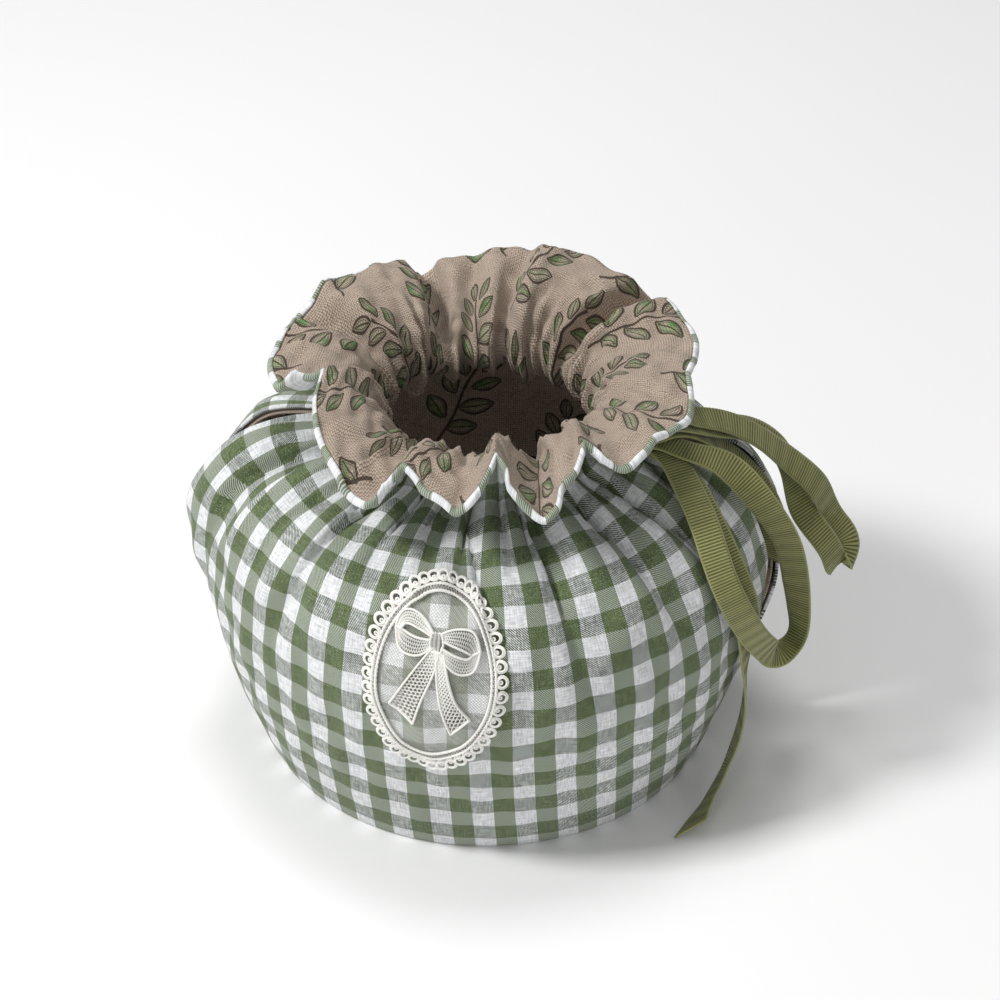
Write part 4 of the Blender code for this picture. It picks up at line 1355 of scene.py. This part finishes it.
@dataclass
class LaceOval:
    """The lace oval on the front: net, double ring, looped edge and an embroidered bow."""

    surface: FoldedSurface
    azimuth: float = -92.0
    centre: float = 0.535
    width: float = 47.0
    height: float = 72.0
    lean: float = 4.0
    loops: int = 44
    lift: float = 2.9
    ring_points: int = 264
    ring_shares: tuple[float, float] = (0.80, 0.862)
    ring_twists: float = 60.0
    ring_twist_size: float = 0.26
    ring_lift: float = 0.5
    net_share: float = 0.93
    net_area_share: float = 0.87
    net_thickness: float = 0.0002
    edging_radius: float = 0.00034
    bow_radius: float = 0.00042
    stitch_sway: float = 0.42
    stitch_lift: float = 0.35
    stitch_bob: float = 0.14
    fill_lift: float = 0.5
    outline_lifts: tuple[float, float] = (0.35, 0.85)
    end_lifts: tuple[float, float] = (0.4, 0.85)

    def points(self, across: np.ndarray, up: np.ndarray, lift: np.ndarray) -> np.ndarray:
        """Points over the cover's front, from millimetres across and up from the oval's middle."""
        lean = math.radians(self.lean)
        along = across * math.cos(lean) + up * math.sin(lean)
        rise = up * math.cos(lean) - across * math.sin(lean)
        v = self.centre + rise / self.surface.body_length
        radius, _ = self.surface.body_curve(v)
        azimuth = self.azimuth + np.degrees(along / radius)
        place = self.surface.place_at(azimuth)
        return self.surface.point(place, v, self.lift + lift, np.ones_like(v))

    def net(self, material: bpy.types.Material) -> bpy.types.Object:
        """The fine net inside the ring."""
        mesh = bmesh.new()
        bmesh.ops.create_circle(mesh, cap_ends=True, cap_tris=True, segments=72, radius=1.0)
        for _ in range(2):
            bmesh.ops.subdivide_edges(mesh, edges=mesh.edges[:], cuts=1, use_grid_fill=True)
        half_width = self.net_share * self.width / 2
        half_height = self.net_share * self.height / 2
        lay_flat(mesh, lambda _, at: (at.co.x * half_width * MM, at.co.y * half_height * MM))
        across = np.array([vertex.co.x for vertex in mesh.verts]) * half_width
        up = np.array([vertex.co.y for vertex in mesh.verts]) * half_height
        for vertex, point in zip(mesh.verts, self.points(across, up, np.zeros(len(across)))):
            vertex.co = point
        return finished_sheet("lace_net", mesh, material, self.net_thickness)

    def edging(self, material: bpy.types.Material) -> bpy.types.Object:
        """Two twisted rings with stitches between them, and a round of loops with a bud in each."""
        strands = []
        angle = 2.0 * math.pi * np.arange(self.ring_points) / self.ring_points
        for share in self.ring_shares:
            for half in (0.0, math.pi):
                twist = self.ring_twists * angle + half
                reach = share * self.width / 2 + self.ring_twist_size * np.cos(twist)
                rise = share * self.height / 2 + self.ring_twist_size * np.cos(twist)
                lift = self.ring_lift + self.ring_twist_size * np.sin(twist)
                strands.append(self.points(reach * np.cos(angle), rise * np.sin(angle), lift))
        inner, outer = self.ring_shares
        zigzag = np.where(np.arange(self.ring_points) % 2 == 0, inner, outer)
        across = zigzag * self.width / 2 * np.cos(angle)
        up = zigzag * self.height / 2 * np.sin(angle)
        strands.append(self.points(across, up, np.full(self.ring_points, self.stitch_lift)))
        for index in range(self.loops):
            strands += [self.rim_loop(index, *row) for row in LOOP_THREADS]
        return tube_mesh("lace_edging", strands, self.edging_radius, material, closed=True)

    def rim_loop(self, index: int, reach: float, size: float, lift: float) -> np.ndarray:
        """One round of thread at the edge.

        Args:
            index: which loop of the edge it belongs to.
            reach: place of its middle, as a share of the oval.
            size: its radius in millimetres.
            lift: its height over the cover in millimetres.

        Returns:
            Its points.
        """
        middle = 2.0 * math.pi * (index + 0.5) / self.loops
        count = 14
        turn = 2.0 * math.pi * np.arange(count) / count
        across = reach * self.width / 2 * math.cos(middle) + size * np.cos(turn)
        up = reach * self.height / 2 * math.sin(middle) + size * np.sin(turn)
        return self.points(across, up, np.full(count, lift))

    def bow(self, material: bpy.types.Material) -> bpy.types.Object:
        """The embroidered bow: corded outlines round an open net of stitches."""
        strands = []
        for outline, rows in BOW_SHAPES:
            strands += self.filled_shape(outline, rows)
        return tube_mesh("lace_bow", strands, self.bow_radius, material, closed=False)

    def filled_shape(self, outline: Sequence[Sequence[float]], rows: int) -> list[np.ndarray]:
        """Stitched rows between the two long edges of a shape.

        Args:
            outline: rows of two edge points, from the knot outwards, in millimetres.
            rows: number of rows between the edges.

        Returns:
            Strands; the inner ones sway to and fro so that neighbours touch and leave meshes.
        """
        table = np.array(outline, float)
        knots = np.arange(len(table), dtype=float)
        at = np.linspace(0.0, len(table) - 1.0, 8 * len(table))
        edges = np.stack([natural_spline(knots, table[:, i], at) for i in range(4)], axis=1)
        beat = np.where(np.arange(len(at)) % 2 == 0, 1.0, -1.0)
        strands = []
        for index in range(rows + 1):
            edge = index in (0, rows)
            sway = 0.0 if edge else self.stitch_sway / rows * (-1.0) ** index
            share = (index / rows + sway * beat)[:, None]
            line = edges[:, 0:2] * (1.0 - share) + edges[:, 2:4] * share
            for lift in self.outline_lifts if edge else (self.fill_lift,):
                strands.append(self.points(line[:, 0], line[:, 1], lift + self.stitch_bob * beat))
        share = np.linspace(0.0, 1.0, 12)[:, None]
        for lift in self.end_lifts:
            line = edges[-1, 0:2] * (1.0 - share) + edges[-1, 2:4] * share
            strands.append(self.points(line[:, 0], line[:, 1], np.full(len(line), lift)))
        return strands

    def make(self, finishes: Finishes) -> list[bpy.types.Object]:
        """Build the lace: its net, its edging and its bow."""
        net = kept(self.net(finishes.net), "lace", "lace_medallion")
        edging = kept(self.edging(finishes.thread), "lace")
        bow = kept(self.bow(finishes.thread), "lace")
        return [net, edging, bow]


@dataclass
class RibbonStrand:
    """One strand of the tied ribbon, from the knot to its end."""

    name: str
    node: str
    route: tuple[Turn, ...]
    far_end: FarEnd
    width: float = 10.0
    thickness: float = 0.0006
    rib: float = 1.3
    rib_height: float = 0.07
    crown: float = 0.35
    lanes: int = 8
    easing: int = 4
    slant: float = 0.0
    slant_run: float = 8.0

    def make(self, material: bpy.types.Material) -> bpy.types.Object:
        places = np.array([row[:3] for row in self.route], float)
        wide = unit(np.array([row[3:] for row in self.route], float))
        knots = chord_knots(places)
        rows = round(chain_lengths(places)[-1] / (self.rib / 2))
        at = np.linspace(0.0, 1.0, rows + 1)
        centre = np.stack([natural_spline(knots, places[:, i], at) for i in range(3)], axis=1)
        across = np.stack([np.interp(at, knots, wide[:, i]) for i in range(3)], axis=1)
        smooth = np.ones(2 * self.easing + 1) / (2 * self.easing + 1)
        padded = np.pad(across, ((self.easing, self.easing), (0, 0)), mode="edge")
        across = np.stack([np.convolve(padded[:, i], smooth, "valid") for i in range(3)], axis=1)
        run = unit(np.gradient(centre, axis=0))
        across = unit(across - run * (across * run).sum(axis=1)[:, None])
        through = np.cross(run, across)
        along = chain_lengths(centre)
        mesh = bmesh.new()
        bmesh.ops.create_grid(mesh, x_segments=self.lanes, y_segments=rows, size=0.5)

        def row_of(vertex: bmesh.types.BMVert) -> int:
            """Row of the flat grid that a vertex is in."""
            return round((vertex.co.y + 0.5) * rows)

        lay_flat(mesh, lambda _, at: (at.co.x * self.width * MM, along[row_of(at)] * MM))
        for vertex in mesh.verts:
            row = row_of(vertex)
            lane = vertex.co.x
            crown = self.crown * (0.25 - lane * lane)
            rib = self.rib_height if row % 2 else -self.rib_height
            to_end = (along[-1] - along[row]) / self.slant_run
            slant = self.slant * 2.0 * lane * max(0.0, 1.0 - to_end)
            point = centre[row] + across[row] * lane * self.width + through[row] * (crown + rib)
            vertex.co = (point + run[row] * slant) * MM
        piece = finished_sheet(self.name, mesh, material, self.thickness)
        kept(piece, "grosgrain", self.node)
        return piece


FRONT_LOOP = (
    Turn(53.0, -7.5, 126.2, 0.14, 0.99, 0.00),
    Turn(57.4, -8.1, 126.1, 0.14, 0.99, 0.00),
    Turn(63.6, -12.5, 125.9, 0.50, 0.86, 0.00),
    Turn(71.5, -23.5, 122.0, 0.80, 0.55, 0.10),
    Turn(79.6, -37.5, 114.8, 0.95, 0.30, 0.10),
    Turn(86.7, -45.5, 100.0, 0.95, 0.30, 0.10),
    Turn(93.3, -44.9, 84.4, 0.93, 0.36, 0.10),
    Turn(99.1, -37.3, 68.3, 0.85, 0.52, 0.10),
    Turn(103.3, -24.8, 53.4, 0.60, 0.80, 0.10),
    Turn(107.0, -14.0, 45.0, 0.10, 1.00, 0.10),
    Turn(112.0, -7.0, 46.5, -0.55, 0.85, 0.00),
    Turn(112.5, -5.0, 55.0, -0.80, 0.55, 0.00),
    Turn(110.6, -6.4, 71.2, -0.97, 0.20, 0.00),
    Turn(106.7, -10.7, 91.0, -0.98, 0.05, 0.00),
    Turn(96.3, -14.8, 111.3, -0.95, -0.15, -0.20),
    Turn(81.7, -13.0, 124.4, -0.70, -0.70, -0.10),
    Turn(69.8, -10.9, 126.4, -0.35, -0.93, 0.00),
    Turn(62.5, -9.0, 127.6, -0.15, -0.99, 0.00),
    Turn(57.4, -8.1, 127.6, -0.14, -0.99, 0.00),
    Turn(53.0, -7.5, 127.6, -0.14, -0.99, 0.00),
)
BACK_LOOP = (
    Turn(53.0, -7.5, 131.8, 0.14, 0.99, 0.00),
    Turn(57.4, -8.1, 131.9, 0.14, 0.99, 0.00),
    Turn(62.4, -3.5, 135.5, -0.20, 0.97, 0.00),
    Turn(69.7, 4.0, 130.6, -0.30, 0.95, 0.10),
    Turn(80.0, 10.5, 125.0, -0.30, 0.90, 0.30),
    Turn(94.0, 15.5, 115.8, -0.20, 0.85, 0.45),
    Turn(105.1, 19.9, 103.8, 0.10, 0.80, 0.60),
    Turn(116.2, 23.6, 89.9, 0.35, 0.75, 0.55),
    Turn(121.9, 27.3, 74.5, 0.60, 0.75, 0.30),
    Turn(127.4, 24.6, 65.0, 0.70, 0.70, 0.20),
    Turn(125.0, 19.5, 61.0, 0.70, 0.70, 0.20),
    Turn(122.0, 15.8, 68.3, 0.60, 0.75, 0.30),
    Turn(110.5, 19.8, 83.5, 0.35, 0.75, 0.55),
    Turn(102.2, 24.2, 103.3, 0.10, 0.80, 0.60),
    Turn(90.0, 19.4, 116.3, -0.20, 0.85, 0.45),
    Turn(78.3, 8.6, 123.5, -0.30, 0.90, 0.20),
    Turn(69.5, 1.6, 129.0, -0.30, 0.95, 0.10),
    Turn(63.4, -3.9, 131.5, -0.20, 0.97, 0.00),
    Turn(57.4, -8.1, 130.4, 0.14, 0.99, 0.00),
    Turn(53.0, -7.5, 130.4, 0.14, 0.99, 0.00),
)
FRONT_TAIL = (
    Turn(53.0, -7.5, 124.8, 0.14, 0.99, 0.00),
    Turn(57.4, -8.1, 124.7, 0.14, 0.99, 0.00),
    Turn(63.8, -11.7, 124.4, 0.50, 0.86, 0.00),
    Turn(70.8, -18.8, 121.6, 0.80, 0.55, 0.00),
    Turn(79.7, -30.6, 114.2, 0.93, 0.36, 0.00),
    Turn(88.5, -39.5, 101.3, 0.93, 0.36, 0.00),
    Turn(94.9, -39.7, 83.1, 0.85, 0.52, 0.00),
    Turn(96.1, -33.7, 64.6, 0.50, 0.86, 0.00),
    Turn(95.9, -29.6, 46.0, 0.00, 1.00, 0.00),
    Turn(96.0, -29.8, 33.0, -0.14, 0.99, 0.00),
    Turn(94.8, -31.3, 22.0, -0.14, 0.99, 0.00),
    Turn(90.8, -37.7, 9.5, -0.22, 0.70, -0.60),
    Turn(85.8, -51.0, 4.8, -0.52, 0.27, -0.81),
    Turn(81.2, -65.0, 3.6, -0.77, 0.40, -0.50),
)
BACK_TAIL = (
    Turn(53.0, -7.5, 129.0, 0.14, 0.99, 0.00),
    Turn(57.4, -8.1, 129.0, 0.14, 0.99, 0.00),
    Turn(63.5, -4.0, 129.3, -0.20, 0.97, 0.00),
    Turn(71.0, 2.0, 125.8, -0.30, 0.95, 0.00),
    Turn(78.0, 5.5, 119.8, -0.25, 0.97, 0.00),
    Turn(84.5, 8.0, 113.0, 0.10, 0.98, 0.00),
    Turn(90.5, 10.0, 104.5, 0.50, 0.85, 0.00),
    Turn(95.5, 11.5, 95.5, 0.80, 0.55, 0.00),
    Turn(99.5, 12.5, 86.0, 0.95, 0.25, 0.00),
    Turn(102.0, 12.8, 75.0, 0.98, 0.10, 0.00),
    Turn(103.5, 12.8, 64.0, 0.98, 0.10, 0.00),
)
STRANDS = (
    RibbonStrand("front_loop", "ribbon_front_loop", FRONT_LOOP, FarEnd.TIED),
    RibbonStrand("back_loop", "ribbon_back_loop", BACK_LOOP, FarEnd.TIED),
    RibbonStrand("front_tail", "ribbon_tail_front", FRONT_TAIL, FarEnd.FREE, slant=4.0),
    RibbonStrand("back_tail", "ribbon_tail_back", BACK_TAIL, FarEnd.FREE, slant=4.0),
)


@dataclass
class BowKnot:
    """The knot: a band of ribbon wrapped once round the strands."""

    azimuth: float = -8.0
    radius: float = 47.9
    height: float = 128.2
    size: tuple[float, float, float] = (10.2, 14.0, 8.6)
    rounding: float = 0.2
    pinch: float = 0.14
    pinch_width: float = 0.2
    crease: float = 0.03
    crease_turns: float = 31.0
    width_share: float = 0.7

    def wrapped_corner(self, _: bmesh.types.BMFace, vertex: bmesh.types.BMVert) -> tuple[float, float]:
        """Place on the flat ribbon: across it and along its wrap."""
        x, y, z = vertex.co
        round_it = math.atan2(z, x) * self.size[2] / 2
        return y * self.width_share * MM, round_it * MM

    def make(self, material: bpy.types.Material) -> bpy.types.Object:
        """Build the wrapped band, pinched at its middle."""
        mesh = bmesh.new()
        bmesh.ops.create_cube(mesh, size=1.0)
        bmesh.ops.bevel(
            mesh,
            geom=mesh.edges[:],
            offset=self.rounding,
            segments=5,
            profile=0.5,
            affect="EDGES",
            material=-1,
        )
        bmesh.ops.subdivide_edges(mesh, edges=mesh.edges[:], cuts=2, use_grid_fill=True)
        angle = math.radians(self.azimuth)
        for vertex in mesh.verts:
            x, y, z = vertex.co
            middle = self.pinch * math.exp(-((y / self.pinch_width) ** 2))
            girth = 1.0 - middle - self.crease * math.cos(y * self.crease_turns)
            vertex.co = (x * self.size[0] * girth, y * self.size[1], z * self.size[2] * girth)
        lay_flat(mesh, self.wrapped_corner)
        for vertex in mesh.verts:
            x, y, z = vertex.co
            out = self.radius + x
            vertex.co = (
                (out * math.cos(angle) - y * math.sin(angle)) * MM,
                (out * math.sin(angle) + y * math.cos(angle)) * MM,
                (self.height + z) * MM,
            )
        piece = finished_mesh("knot_wrap", mesh, material)
        return kept(piece, "grosgrain", "bow_knot")


@dataclass
class Studio:
    """Pale floor, soft light and the camera at the photograph's angle."""

    azimuth: float = 8.0
    elevation: float = 36.0
    distance: float = 1.1
    target_across: float = 0.0050
    target_height: float = 0.0904
    lens: float = 112.46
    lights: tuple = (
        ("key", (-1.1, -0.5, 1.5), 0.34, 25.0),
        ("fill", (1.2, -0.9, 0.9), 1.2, 1.5),
        ("top", (-0.1, 0.4, 1.8), 0.6, 11.0),
        ("low", (-0.3, -1.3, 0.4), 0.8, 3.2),
    )
    sky: float = 0.31
    floor_tones: tuple[Colour, Colour] = ((0.84, 0.84, 0.84, 1.0), (0.87, 0.87, 0.87, 1.0))

    def camera(self) -> None:
        """Place the camera and make it the scene's."""
        turn = math.radians(self.azimuth)
        tilt = math.radians(self.elevation)
        across = Vector((math.cos(turn), math.sin(turn), 0.0))
        away = Vector((-math.sin(turn), math.cos(turn), 0.0))
        back = -away * math.cos(tilt) + Vector((0.0, 0.0, math.sin(tilt)))
        data = bpy.data.cameras.new("camera")
        data.lens = self.lens
        data.sensor_width = 36.0
        data.clip_start = 0.05
        data.clip_end = 20.0
        aim = across * self.target_across + Vector((0.0, 0.0, self.target_height))
        bpy.context.scene.camera = aimed("camera", data, aim + back * self.distance, -back)

    def floor(self) -> None:
        """A wide pale floor."""
        mesh = bmesh.new()
        bmesh.ops.create_grid(mesh, x_segments=1, y_segments=1, size=6.0)
        material, graph, shader = dressed("studio_floor", 0.7)
        place = graph.node("TexCoord").outputs["Object"]
        colour = graph.mix(graph.noise(place, 3.0), *self.floor_tones)
        graph.put(shader.inputs["Base Color"], colour)
        floor = finished_mesh("studio_floor", mesh, material)

    def light(self, name: str, place: tuple, size: float, power: float) -> None:
        """One square soft light that faces the cosy."""
        data = bpy.data.lights.new(name, "AREA")
        data.size = size
        data.energy = power
        aimed(name, data, Vector(place), Vector((0.0, 0.0, 0.08)) - Vector(place))

    def make(self) -> None:
        """Set the whole studio."""
        self.camera()
        self.floor()
        for row in self.lights:
            self.light(*row)
        world = bpy.data.worlds.new("studio")
        world.use_nodes = True
        background = world.node_tree.nodes["Background"]
        background.inputs["Color"].default_value = (1.0, 1.0, 1.0, 1.0)
        background.inputs["Strength"].default_value = self.sky
        bpy.context.scene.world = world
        bpy.context.scene.view_settings.view_transform = "Standard"


def main() -> None:
    """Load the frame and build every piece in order."""
    logging.basicConfig(level=logging.INFO, format="%(name)s %(message)s")
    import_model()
    Studio().make()
    finishes = Finishes()
    surface = FoldedSurface()
    Cover(surface).make(finishes.gingham)
    Lining(surface).make(finishes.linen)
    LaceOval(surface).make(finishes)
    for strand in STRANDS:
        strand.make(finishes.grosgrain)
    BowKnot().make(finishes.grosgrain)
    bpy.context.view_layer.update()


if __name__ == "__main__":
    main()
